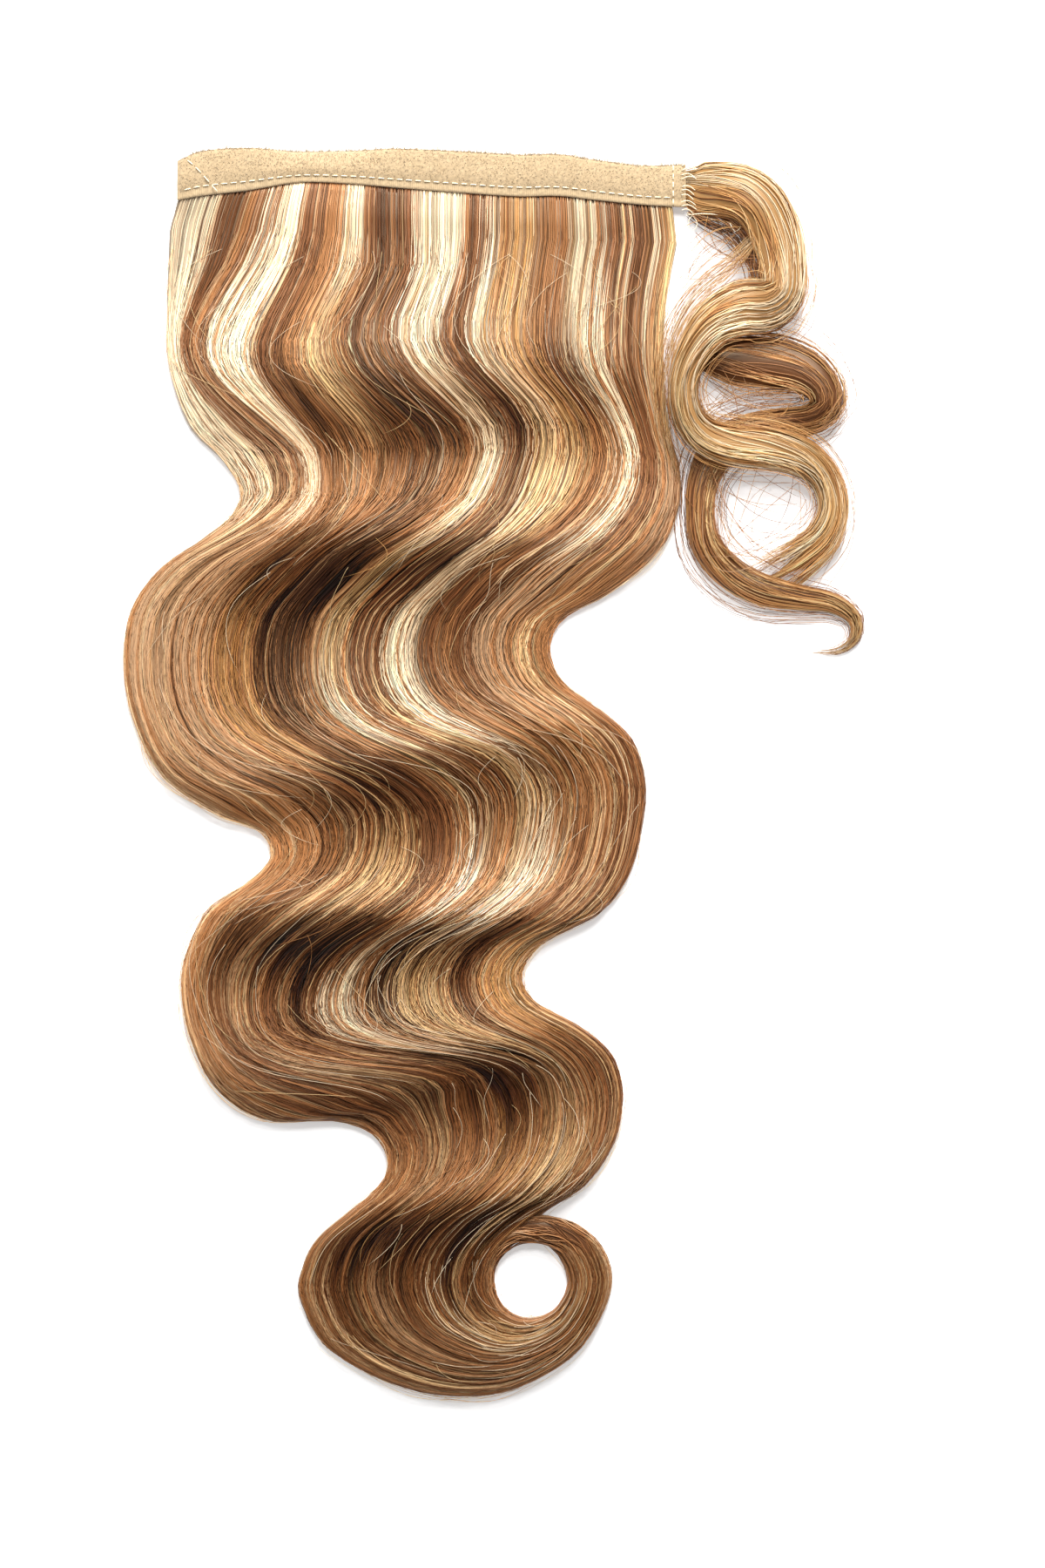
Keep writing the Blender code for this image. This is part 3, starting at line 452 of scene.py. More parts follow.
def fall_surface(root, at):
    """Point of the fall's top for a root share and a share of the length; before 0 it runs up under the tape.

    Across: between the left and right edge at the swayed share u. Height: from the side's height, a crown of
    (1 - (2u - 1)^2)^0.4 up to the wave's depth, with the locks' relief, which fades at the edges and where the hair
    is thin. Under the tape: eased to the weft's line and top.
    """
    rise = np.clip(at / ROOT_START, 0, 1)
    across = share_across(root, at) + rise * np.interp(root, SWAY_ROOTS, ROOT_DRIFT)
    left_x, left_y, right_x, right_y = (read_table(edge_table[:, i], at) for i in range(4))
    x = left_x + (right_x - left_x) * across
    y = left_y + (right_y - left_y) * across
    depth = read_table(wave_table[:, 0], at) * HAIR_DEPTH
    edge = np.minimum(across, 1 - across)
    crown = np.clip(1 - (2 * across - 1) ** 2, 0, 1) ** CROWN_POWER
    side = np.minimum(HAIR_SIDE, 0.5 * depth)
    relief = lock_relief(root, at) * np.clip(edge / RELIEF_EDGE, 0, 1) * np.clip(depth / RELIEF_DEPTH, 0, 1)
    z = side + (depth - side) * crown + relief

    tape_x = np.clip(WEFT_INSET + across * (TAPE_LENGTH - WEFT_END_GAP - WEFT_INSET), 0, TAPE_LENGTH)
    tape_y = tape_edges(tape_x / TAPE_LENGTH)[1] + ROOT_TUCK
    bend = rise**ROOT_BEND
    x = x + (tape_x - x) * bend
    y = y + (tape_y - y) * rise
    z = z + (ROOT_BED - z) * ease((rise - ROOT_DIP_FROM) / ROOT_DIP_OVER)
    return np.stack([x, y, z], axis=-1) + SHIFT


def wave_shade(root, at):
    """Light lost at a root share and a share of the length, straight between the shade table's columns."""
    place = np.interp(root, SHADE_ROOTS, np.arange(len(SHADE_ROOTS)))
    column = np.minimum(place.astype(int), len(SHADE_ROOTS) - 2)
    part = place - column
    row = np.round(np.clip(at, 0, 1) * (FINE - 1)).astype(int)
    return shade_table[row, column] * (1 - part) + shade_table[row, column + 1] * part


def hair_shade(root, at, strand, mix):
    """Colour of the hair: its own dye shade, the streak it runs in, and the shadow of the wave.

    root and at are arrays (strand, station), and strand is one random number a strand. Smooth noise across the
    fall picks a strand's own shade. Inside a streak it turns to the streak's shade, where a noise of its own is
    above mix, which counts for more further down; the streak's edges are shifted by noise, so they are ragged.
    Then the strand's tone multiplies it, and so does the light: 1, less the wave's shadow, which is weaker at the
    fall's two sides, and less the grooves between locks.
    """
    rng = np.random.default_rng(int(7 + 1000 * mix))
    count = root.shape[0]
    own = np.array([linear(shade) for shade in OWN_SHADES])
    pick = 0.5 + layered_noise(root, at, SHADE_LAYERS) + SHADE_SPREAD * rng.normal(0, 1, count)[:, None]
    pick = np.clip(pick, 0, 0.999) * (len(own) - 1)
    low = pick.astype(int)
    colour = own[low] + (own[low + 1] - own[low]) * (pick - low)[:, :, None]
    ragged = rng.normal(0, SIDE_SPREAD, count)[:, None]
    ragged = ragged + SIDE_NOISE * soft_noise(strand, at, (STRAND_CELLS, 12), 21)
    ragged = ragged + SIDE_NOISE * soft_noise(root, at, (24, 14), 25)
    rank = np.interp(root, sway_at, strand_rank)
    start_late = rng.normal(0, START_SPREAD, count)[:, None]
    loyal = 0.5 + LOYAL_NOISE * soft_noise(root, at, (150, 3), 27) + LOYAL_SPREAD * rng.normal(0, 1, count)[:, None]
    keeps = ease((loyal - mix * (1 + MIX_GROWTH * np.clip(at, 0, 1))) / MIX_FADE + 0.5)
    place = np.interp(rank + ragged * (1 + SIDE_GROWTH * np.clip(at, 0, 1)), strand_rank, sway_at)
    for streak in STREAKS:
        inside = ease((place - streak.left) / STREAK_SIDE_FADE + 0.5)
        inside = inside * ease((streak.right - place) / STREAK_SIDE_FADE + 0.5)
        inside = inside * ease((at + start_late - streak.start) / STREAK_START_FADE + 0.5)
        inside = inside * ease((streak.end - at + 2 * start_late) / STREAK_END_FADE + 0.5)
        colour = colour + (linear(streak.shade) - colour) * (inside * keeps)[:, :, None]
    tone = 1 + rng.normal(0, TONE_SPREAD, count)[:, None] + layered_noise(root, at, TONE_LAYERS)
    tone = tone + 0.09 * soft_noise(strand, at, (STRAND_CELLS, 30), 22)
    colour = colour * np.clip(tone, 0.25, 1.35)[:, :, None]
    across = share_across(root, at)
    early = 0.006 * rng.normal(0, 1, count)[:, None] + 0.008 * soft_noise(root, at, (40, 16), 26)
    shadow = wave_shade(root, at + early) * np.clip(1.35 * np.sin(np.pi * across) ** 0.8, 0.25, 1)
    shadow = np.clip(shadow * (1 + 0.30 * soft_noise(root, at, (46, 22), 23)), -0.45, 1)
    level = np.clip(np.minimum(across, 1 - across) / 0.12, 0, 1)
    groove = level * np.clip(-lock_relief(root, at) / GROOVE_DEPTH, 0, 1)
    pale = np.clip(colour.mean(axis=-1) / 0.7, 0, 1)
    light = 1 - np.where(shadow > 0, HOLLOW_LOSS - HOLLOW_PALE * pale, 1.0) * shadow
    light = light - (GROOVE_LOSS - GROOVE_PALE * pale) * groove
    light = np.clip(light * (UPPER_LIGHT - LOWER_LOSS * ease((at - LOWER_FROM) / LOWER_OVER)), 0.06, 1.5)
    return np.clip(colour * np.stack([light, light**GREEN_POWER, light**BLUE_POWER], axis=-1), DARKEST, 1)


def put_mesh(name, points, quads, triangles=(), colours=None, flow=None):
    """Object from arrays of points, quads and triangles, smooth, with a colour a point and a UV of hair run."""
    quads = np.asarray(quads, np.int32).reshape(-1, 4)
    triangles = np.asarray(triangles, np.int32).reshape(-1, 3)
    corners = np.concatenate([quads.ravel(), triangles.ravel()])
    sizes = np.concatenate([np.full(len(quads), 4), np.full(len(triangles), 3)])
    mesh = bpy.data.meshes.new(name)
    mesh.vertices.add(len(points))
    mesh.vertices.foreach_set("co", np.asarray(points, np.float32).ravel())
    mesh.loops.add(len(corners))
    mesh.loops.foreach_set("vertex_index", corners)
    mesh.polygons.add(len(sizes))
    mesh.polygons.foreach_set("loop_start", np.concatenate([[0], np.cumsum(sizes)[:-1]]).astype(np.int32))
    mesh.polygons.foreach_set("use_smooth", np.ones(len(sizes), bool))
    mesh.update(calc_edges=True)
    mesh.validate()
    if colours is not None:
        layer = mesh.color_attributes.new("tint", "FLOAT_COLOR", "POINT")
        rgba = np.column_stack([np.asarray(colours).reshape(-1, 3), np.ones(len(points))])
        layer.data.foreach_set("color", rgba.astype(np.float32).ravel())
    if flow is not None:
        layer = mesh.uv_layers.new(name="flow")
        layer.data.foreach_set("uv", np.asarray(flow, np.float32).reshape(-1, 2)[corners].ravel())
    piece = bpy.data.objects.new(name, mesh)
    bpy.context.scene.collection.objects.link(piece)
    return piece


def put_sweep(name, points, ends, tint, end_tint, flow=None, turned=False):
    """Closed surface through rings of points, with a fan from each end ring to its own middle point.

    turned is for rings that run the other way round their path, so that the faces still point outwards.
    """
    rings, count = points.shape[:2]
    index = np.arange(rings * count).reshape(rings, count)
    following = np.roll(index, -1, axis=1)
    hub = np.full(count, rings * count)
    quads = np.stack([index[:-1], following[:-1], following[1:], index[1:]], axis=-1).reshape(-1, 4)
    triangles = np.concatenate([
        np.stack([following[0], index[0], hub], axis=-1),
        np.stack([index[-1], following[-1], hub + 1], axis=-1),
    ])
    if turned:
        quads, triangles = quads[:, ::-1], triangles[:, [1, 0, 2]]
    points = np.concatenate([points.reshape(-1, 3), ends])
    tint = np.concatenate([tint.reshape(-1, 3), np.broadcast_to(end_tint, (2, 3))])
    if flow is not None:
        flow = np.concatenate([flow.reshape(-1, 2), np.zeros((2, 2))])
    return put_mesh(name, points, quads, triangles, tint, flow)


def put_strands(name, centres, radius, colours, seed, sides=3):
    """Joined closed tubes, one a strand: rings round the centre lines, squared to their run, with capped ends.

    A ring's point is the centre line's, plus the radius times cos a sideways and sin a upwards.
    """
    strands, stations, _ = centres.shape
    run = np.gradient(centres, axis=1)
    run /= np.maximum(np.linalg.norm(run, axis=2, keepdims=True), 1e-9)
    up = np.zeros_like(run)
    up[:, :, 2] = 1.0
    beside = np.cross(up, run)
    beside /= np.maximum(np.linalg.norm(beside, axis=2, keepdims=True), 1e-6)
    up = np.cross(run, beside)
    angle = np.pi / 2 + 2 * np.pi * np.arange(sides) / sides
    across = np.cos(angle)[None, None, :, None] * beside[:, :, None, :]
    above = np.sin(angle)[None, None, :, None] * up[:, :, None, :]
    points = centres[:, :, None, :] + radius[:, :, None, None] * (across + above)
    index = np.arange(strands * stations * sides).reshape(strands, stations, sides)
    following = np.roll(index, -1, axis=2)
    quads = np.stack([index[:, :-1], following[:, :-1], following[:, 1:], index[:, 1:]], axis=-1)
    fan = np.arange(1, sides - 1)
    start = index[:, 0][:, np.stack([0 * fan, fan + 1, fan], axis=-1)]
    end = index[:, -1][:, np.stack([0 * fan, fan, fan + 1], axis=-1)]
    along = np.concatenate(
        [np.zeros((strands, 1)), np.cumsum(np.linalg.norm(np.diff(centres, axis=1), axis=2), axis=1)], axis=1
    )
    offset = np.random.default_rng(seed).uniform(0, 400, (strands, 1))
    flow = np.empty((strands, stations, sides, 2))
    flow[..., 0] = (offset + np.arange(strands)[:, None] * 3.7)[:, :, None] + np.arange(sides) * 0.3
    flow[..., 1] = (along / MM + offset)[:, :, None]
    tint = np.broadcast_to(colours[:, :, None, :], points.shape)
    triangles = np.concatenate([start.reshape(-1, 3), end.reshape(-1, 3)])
    return put_mesh(name, points.reshape(-1, 3), quads, triangles, tint.reshape(-1, 3), flow)


def curl_stations(count):
    """Shares of the fall's length, closer together where its hairs turn more.

    They are spaced evenly on the running sum of 1 and 0.05 times the mean turning of ten hairs across the fall.
    """
    root, at = np.broadcast_arrays(np.linspace(0.05, 0.95, 10)[:, None], fine_at[None, :])
    step = np.gradient(fall_surface(root, at)[:, :, :2], axis=1)
    heading = np.unwrap(np.arctan2(step[:, :, 0], step[:, :, 1]), axis=1)
    turning = np.abs(np.gradient(heading, axis=1)).mean(axis=0) * (FINE - 1)
    weight = np.cumsum(1 + 0.050 * turning)
    weight = (weight - weight[0]) / (weight[-1] - weight[0])
    return np.interp(np.linspace(0, 1, count), weight, fine_at)


def fall_stations(count):
    """Shares along the fall with the run under the tape before them."""
    roots = np.linspace(ROOT_START, 0, 5)[:-1]
    return np.concatenate([roots, curl_stations(count - 4)])


# Grid of the fall's body, how far it lies below the strands, its least height, the rise of its underside at the
# weft, and the grey of its two hidden ends.
BODY_ACROSS, BODY_ALONG, BODY_UNDER = 250, 140, 12
BODY_SINK, BODY_LEAST, BODY_ROOT_RISE = 0.5 * MM, 0.4 * MM, 1.8 * MM
BODY_END_TINT = 0.1
# Units of the flow map from side to side of the body.
BODY_FLOW = 150
# The inner hair shows only in the gaps between strands, which hold less light.
GAP_SHADE = 0.5
# Thin locks side by side across the fall, and round the tress, and how far strands gather towards their middles.
LOCKS_ACROSS, LOCKS_ROUND = 70, 24
GATHER_ACROSS, GATHER_ROUND = 0.45, 0.6
# Share of a layer's strands that end short of the tips, and the least height of a strand's centre in its radius.
SHORT_STRANDS = 0.25
CLEAR_OF_TABLE = 1.05
# A strand of the fall: how far it drifts across, at least and more where its layer is loose, how far its height
# drifts, the share of the length over which it rises from the weft, and its thinning towards the tips.
DRIFT_LEAST, DRIFT_LOOSE, HEIGHT_DRIFT = 0.004, 0.026, 0.8
RISE_OVER = 0.04
THINNING_AT, THINNING = (0, 0.5, 0.75, 0.9, 1), (1, 1, 0.85, 0.78, 0.5)
# A strand of a thin lock: how far it turns round it by itself and with its neighbours, and how far out it moves.
TURN_DRIFT, TURN_SWIRL, OUT_DRIFT = 0.34, 0.30, 0.08
# A thin lock's shades: the middle of their range, wide and narrow bands round the lock, and its top painted paler and
# its underside darker, as painted light and shade.
BAND_MIDDLE, BAND_WIDE, BAND_NARROW, TOP_PAINTED_LIGHT = 0.47, 0.44, 0.16, 0.16
# Shares of a lock's run: where the shades start to shift, and the end of its first bend and of its painted light
# outside and painted shade inside.
PALER_FROM, BEND_END, BEND_FADE = 0.4, 0.42, 0.12
# How far a lock's strands differ by themselves in shade and in light, its bands of light, and its light's powers.
LOCK_SHADE_SPREAD, LOCK_LIGHT_SPREAD, LOCK_LIGHT_BANDS = 0.13, 0.13, 0.16
LOCK_GREEN_POWER, LOCK_BLUE_POWER = 1.06, 1.15
# Steps into which a thin lock's run is divided, and the radians that share out noise round it.
LOCK_STEPS = 1200
NEARLY_A_TURN = 6.3
# Places along the fall where stray hairs stand up, and the half thickness that strays are drawn with.
STRAY_PLACES = (0.06, 0.19, 0.357, 0.483, 0.588, 0.718, 0.86)
STRAY_RADIUS, TRESS_STRAY_RADIUS = 0.085 * MM, 0.12 * MM


def make_hair_body():
    """Closed body of the fall's inner hair: the fall's surface sunk a little, over a flat underside on the table."""
    at = fall_stations(BODY_ALONG)[:, None]
    root = np.interp(np.linspace(0, 1, BODY_ACROSS), strand_rank, sway_at)[None, :]
    at, root = np.broadcast_arrays(at, root)
    top = fall_surface(root, at)
    sink = BODY_SINK * np.clip(np.minimum(root, 1 - root) / 0.03, 0, 1)
    top[:, :, 2] = np.maximum(top[:, :, 2] - sink, BODY_LEAST)
    share = np.linspace(1, 0, BODY_UNDER)[None, :, None]
    below = top[:, :1] * (1 - share) + top[:, -1:] * share
    below[:, :, 2] = np.where(at[:, :1] < 0, BODY_ROOT_RISE * ease(at[:, :1] / ROOT_START), 0.0)
    points = np.concatenate([top, below], axis=1)
    rings, count = points.shape[:2]
    shade = GAP_SHADE * hair_shade(root.T, at.T, root.T[:, :1], 0.16).transpose(1, 0, 2)
    under = np.broadcast_to(linear(CARAMEL) * 0.7, below.shape)
    flow = np.zeros((rings, count, 2))
    flow[:, : root.shape[1], 0] = root * BODY_FLOW
    flow[:, root.shape[1] :, 0] = BODY_FLOW - np.linspace(0, BODY_FLOW, BODY_UNDER)
    flow[:, :, 1] = at[:, :1] * FALL_RUN / MM
    ends = [points[0].mean(axis=0), points[-1].mean(axis=0)]
    tint = np.concatenate([shade, under], axis=1)
    return put_sweep("hair_body", points, ends, tint, BODY_END_TINT, flow, turned=True)


def make_fall_strands(name, count, stations, thickness, lift, loose, mix, seed):
    """A layer of strands that run the fall's length on its surface.

    Each keeps to its root share, drifts by smooth noise, gathers towards the middle of its thin lock, and lies at
    a height of its own within the layer.
    """
    rng = np.random.default_rng(seed)
    root = np.interp((np.arange(count) + rng.uniform(0.1, 0.9, count)) / count, strand_rank, sway_at)
    rng.shuffle(root)
    strand = rng.uniform(0, 1, count)[:, None]
    short = rng.uniform(0, 1, count) < SHORT_STRANDS
    end = np.where(short, rng.uniform(0.55, 0.98, count), rng.uniform(0.97, 1.0, count))
    start = np.where(rng.uniform(0, 1, count) < loose, rng.uniform(0.0, 0.5, count), ROOT_START)
    share = (fall_stations(stations) - ROOT_START) / (1 - ROOT_START)
    at = start[:, None] + (end - start)[:, None] * share[None, :]
    lock = (np.floor(root * LOCKS_ACROSS) + 0.5) / LOCKS_ACROSS
    gather = GATHER_ACROSS * ease(np.clip(at, 0, 1) * 1.2) * (lock - root)[:, None]
    drift = (DRIFT_LEAST + DRIFT_LOOSE * loose) * soft_noise(strand, at, (STRAND_CELLS, 11), seed + 1)
    placed = np.clip(root[:, None] + gather + drift, 0.002, 0.998)
    centres = fall_surface(placed, at)
    height = rng.uniform(0.2, 1.0, count)[:, None] * lift
    height = height * (1 + HEIGHT_DRIFT * soft_noise(strand, at, (STRAND_CELLS, 14), seed + 2))
    centres[:, :, 2] += height * np.clip((at - ROOT_START) / RISE_OVER, 0, 1)
    begins = np.where(start[:, None] < 0, 1.0, share[None, :] / 0.02)
    ends = np.clip(np.minimum(begins, (1 - share)[None, :] / 0.02), 0.25, 1)
    taper = np.interp(at, THINNING_AT, THINNING)
    radius = thickness * rng.uniform(0.7, 1.3, count)[:, None] * ends * taper
    centres[:, :, 2] = np.maximum(centres[:, :, 2], radius * CLEAR_OF_TABLE)
    colours = hair_shade(placed, at, strand, mix)
    return put_strands(name, centres, radius, colours, seed)


def make_loose_hairs(count=430, stations=16, seed=404):
    """Stray hairs: thin arcs that leave the flow at a slant, most over a crest, and some outside the fall's edges.

    Each follows the fall's surface, lifted by 0.5 mm and a sine arch. A hair is 0.07 mm thick and is drawn 0.17 mm,
    as thin as shows in the render.
    """
    rng = np.random.default_rng(seed)
    s = np.linspace(0, 1, stations)[None, :]
    crest = rng.choice(STRAY_PLACES, count) + rng.normal(0, 0.035, count)
    run = rng.uniform(0.02, 0.085, count)
    crest = np.maximum(crest, 0.01 + run / 2)
    at = np.clip(crest[:, None] + run[:, None] * (s - 0.5), 0.005, 0.99)
    slant = rng.normal(0, 0.060, count)[:, None]
    bow = 0.035 * rng.normal(0, 1, count)[:, None] * (4 * s * (1 - s))
    root = rng.uniform(0.04, 0.96, count)[:, None] + slant * (s - 0.5) + bow
    edge_hair = rng.uniform(0, 1, count)[:, None] < 0.3
    side = np.sign(rng.uniform(-1, 1, count))[:, None]
    root = np.where(edge_hair, 0.5 + 0.497 * side, np.clip(root, 0.003, 0.997))
    centres = fall_surface(root, at)
    left_x, left_y, right_x, right_y = (read_table(edge_table[:, i], at) for i in range(4))
    away = np.stack([right_x - left_x, right_y - left_y], axis=-1)
    away /= np.linalg.norm(away, axis=-1, keepdims=True)
    bulge = np.where(edge_hair, side * rng.uniform(0.3, 3.2, count)[:, None] * MM * np.sin(np.pi * s), 0)
    centres[:, :, :2] += bulge[:, :, None] * away
    arch = rng.uniform(0.4, 2.0, count)[:, None] * MM * np.sin(np.pi * s) ** 0.7
    centres[:, :, 2] += 0.5 * MM + arch
    radius = STRAY_RADIUS * np.clip((1 - s) * 6, 0.4, 1) * rng.uniform(0.7, 1.2, count)[:, None]
    shades = np.array([linear(h) for h in (PLATINUM, BLOND, GOLD, CARAMEL)])
    colours = np.repeat(shades[rng.choice(4, count, p=(0.5, 0.3, 0.1, 0.1))][:, None, :], stations, axis=1)
    return put_strands("hair_loose", centres, radius, colours, seed)


def photo_lock(rows):
    """A thin lock's table from its centre line's pixels in the photo, with heights and half sizes in millimetres."""
    rows = np.array(rows, float)
    x = (rows[:, 0] - TAPE_END_PX[0]) * PIXEL + SHIFT[0]
    y = (TAPE_END_PX[1] - rows[:, 1]) * PIXEL + SHIFT[1]
    return np.column_stack([x, y, rows[:, 2:] * MM])


def tress_table(rows):
    """Centre points of a lock of the tress, its half width and half depth, as in the CAD source."""
    rows = np.array(rows)
    reach = np.where(rows[:, 0] >= 0, rows[:, 0] * TRESS_REACH, rows[:, 0] * TRESS_TUCK)
    middle = (TAPE_ROWS[-1].upper + TAPE_ROWS[-1].lower) / 2 * TAPE_WIDTH
    points = np.column_stack([TAPE_LENGTH + reach, middle - rows[:, 1] * TRESS_DROP, rows[:, 2] * TRESS_LIFT])
    sizes = np.column_stack([rows[:, 3] * TRESS_WIDTH / 2, rows[:, 4] * TRESS_DEPTH / 2])
    return np.column_stack([points + SHIFT, sizes])


def sewn_head():
    """The tress's flat root under the tape's end, as in the CAD source."""
    middle = (TAPE_ROWS[-1].upper + TAPE_ROWS[-1].lower) / 2 * TAPE_WIDTH
    return np.array([
        [x + SHIFT[0], middle + SHIFT[1], WEFT_MIDDLE, TAPE_WIDTH / 2 - WEFT_INSET, WEFT_THICKNESS / 2]
        for x in (TAPE_LENGTH - TRESS_HEAD_LENGTH, TAPE_LENGTH + 0.0004)
    ])


def lock_frame(table, at):
    """Centre, sideways and upward directions and half sizes of a lock at shares of its run."""
    keys = run_length(table[:, :3])
    fine = smooth_rows(table, keys, np.linspace(0, keys[-1], LOCK_STEPS + 1))
    fine[:, 3:] = np.maximum(fine[:, 3:], 0.2 * MM)
    forward = np.gradient(fine[:, :3], axis=0)
    forward /= np.linalg.norm(forward, axis=1)[:, None]
    beside = np.column_stack([-forward[:, 1], forward[:, 0], np.zeros(len(forward))])
    beside /= np.linalg.norm(beside, axis=1)[:, None]
    full = np.column_stack([fine, beside, np.cross(forward, beside)])
    place = np.clip(at, 0, 1) * LOCK_STEPS
    i = np.minimum(place.astype(int), LOCK_STEPS - 1)
    part = (place - i)[..., None]
    read = full[i] * (1 - part) + full[i + 1] * part
    return read[..., :3], read[..., 5:8], read[..., 8:11], read[..., 3], read[..., 4]


def make_lock_strands(
    name, table, count, stations, thickness, twist, shades, seed,
    spread=(0.72, 1.0), parts=(0.86, 1.0), paler=0.0, outer=0.0, lights=((0, 1.0), (1, 1.0)),
):
    """Strands of a lock: each keeps a place round its elliptic section, turns slowly with it and tapers at the tip.

    spread is how far out from the centre line they lie, as shares of the section, and parts the share of the lock's
    run that a strand covers; a short one starts anywhere that leaves it room. paler shifts the shades towards the
    last one on the way to the tip. outer shifts them so on the outer side of the first bend and the other way on its
    inner side, as painted light and painted shade. lights are the light's share at places along the run.
    """
    rng = np.random.default_rng(seed)
    angle = 2 * np.pi * (np.arange(count) + rng.uniform(0, 1, count)) / count
    strand = rng.uniform(0, 1, count)[:, None]
    share = np.linspace(0, 1, stations)[None, :]
    long = rng.uniform(*parts, count)[:, None]
    start = np.where(parts[0] > 0.8, 0.0, rng.uniform(0, 1, count)[:, None] * (1 - long))
    at = start + share * long
    centre, beside, above, wide, deep = lock_frame(table, at)
    gathered = (np.round(angle / 2 / np.pi * LOCKS_ROUND) / LOCKS_ROUND * 2 * np.pi - angle)[:, None]
    gathered = GATHER_ROUND * gathered
    turn = angle[:, None] + gathered * soft_noise(strand, at, (24, 6), seed + 4) ** 2 + twist * at
    turn = turn + TURN_DRIFT * soft_noise(strand, at, (STRAND_CELLS, 7), seed + 1)
    turn = turn + TURN_SWIRL * soft_noise(angle[:, None] / NEARLY_A_TURN, at, (20, 6), seed + 5)
    out = rng.uniform(*spread, count)[:, None]
    out = out * (1 + OUT_DRIFT * soft_noise(strand, at, (STRAND_CELLS, 9), seed + 2))
    centres = (
        centre
        + (out * np.cos(turn) * wide)[..., None] * beside
        + (out * np.sin(turn) * deep)[..., None] * above
    )
    ends = np.clip(np.minimum(share * 30, (1 - share) * 12), 0.25, 1)
    radius = thickness * rng.uniform(0.7, 1.3, count)[:, None] * ends
    centres[:, :, 2] = np.maximum(centres[:, :, 2], radius * CLEAR_OF_TABLE)
    palette = np.array([linear(s) for s in shades])
    around = (turn / 2 / np.pi) % 1
    streak = BAND_MIDDLE + BAND_WIDE * soft_noise(around, at, (22, 3), seed + 3)
    streak = streak + BAND_NARROW * soft_noise(around, at, (80, 4), seed + 7)
    # Painted light on the lock's top and painted shade under it.
    streak = streak + TOP_PAINTED_LIGHT * np.sin(turn) + paler * (at - PALER_FROM)
    # Painted light on the first bend's outer side and painted shade on its inner side.
    streak = streak + outer * np.cos(turn) * ease((BEND_END - at) / BEND_FADE)
    place = np.clip(streak + LOCK_SHADE_SPREAD * rng.normal(0, 1, count)[:, None], 0, 0.999) * (len(shades) - 1)
    low = place.astype(int)
    colours = palette[low] + (palette[low + 1] - palette[low]) * (place - low)[..., None]
    light = np.interp(at, *zip(*lights)) * (1 + LOCK_LIGHT_BANDS * soft_noise(around, at, (30, 14), seed + 6))
    light = light * (1 + rng.normal(0, LOCK_LIGHT_SPREAD, count)[:, None])
    colours = colours * np.stack([light, light**LOCK_GREEN_POWER, light**LOCK_BLUE_POWER], axis=-1)
    return put_strands(name, centres, radius, np.clip(colours, DARKEST, 1), seed)


def make_tress_loose(stations=16, seed=77):
    """Stray hairs across the tress's loops: arcs from start to end, bowed by 4 s (1 - s), their ends scattered."""
    rng = np.random.default_rng(seed)
    arcs = np.repeat(np.array(LOOSE_ARCS, float), [arc.count for arc in LOOSE_ARCS], axis=0)
    count = len(arcs)
    s = np.linspace(0, 1, stations)[None, :, None]
    start = arcs[:, None, 0:2] + rng.normal(0, 1, (count, 1, 2)) * arcs[:, None, 5:6]
    end = arcs[:, None, 2:4] + rng.normal(0, 1, (count, 1, 2)) * arcs[:, None, 5:6]
    bow = arcs[:, None, 4:5] * rng.normal(1, 1.1, (count, 1, 1))
    run = end - start
    beside = np.concatenate([-run[..., 1:], run[..., :1]], axis=-1)
    beside /= np.linalg.norm(beside, axis=-1, keepdims=True)
    pixels = start + run * s + beside * bow * 4 * s * (1 - s)
    height = rng.uniform(4.0, 9.0, (count, 1, 1)) + 4 * s * (1 - s) * rng.uniform(0, 3, (count, 1, 1))
    flat = np.concatenate([pixels, height, height, height], axis=-1).reshape(-1, 5)
    centres = photo_lock(flat)[:, :3].reshape(count, stations, 3)
    radius = TRESS_STRAY_RADIUS * np.clip((1 - s[:, :, 0]) * 5, 0.4, 1) * rng.uniform(0.7, 1.2, (count, 1))
    shades = np.array([linear(h) for h in (BROWN, CARAMEL, GOLD, BEIGE)])
    colours = np.repeat(shades[rng.choice(4, count, p=(0.2, 0.3, 0.25, 0.25))][:, None, :], stations, axis=1)
    return put_strands("tress_loose", centres, radius, colours, seed)


def make_lock_core(name, table, shade, end=0.97):
    """Closed tube inside a lock's strands: its elliptic section drawn in to 0.84, and to 0.12 of that at its end."""
    stations, sides = 150, 20
    at = np.linspace(0, end, stations)
    centre, beside, above, wide, deep = lock_frame(table, at)
    angle = 2 * np.pi * np.arange(sides) / sides
    drawn_in = 0.84 * (0.12 + 0.88 * ease((end - at) / 0.14))[:, None]
    points = (
        centre[:, None, :]
        + (drawn_in * np.cos(angle)[None, :] * wide[:, None])[..., None] * beside[:, None, :]
        + (drawn_in * np.sin(angle)[None, :] * deep[:, None])[..., None] * above[:, None, :]
    )
    points[:, :, 2] = np.maximum(points[:, :, 2], 0.1 * MM)
    # Painted shade: the core shows only between the strands, so its colour is the lock's shade darkened by GAP_SHADE.
    tint = GAP_SHADE * linear(shade)
    flow = np.zeros((stations, sides, 2))
    flow[..., 0] = angle / np.pi * 10
    flow[..., 1] = at[:, None] * 300
    ends = [centre[0], centre[-1]]
    return put_sweep(name, points, ends, np.broadcast_to(tint, points.shape), tint, flow)


# Rings along the tape, and the ribs of its selvedge.
TAPE_STATIONS = 760
RIB_PITCH = 0.8 * MM
RIB_HEIGHT = 0.14 * MM
RIB_EDGE = 0.12 * MM

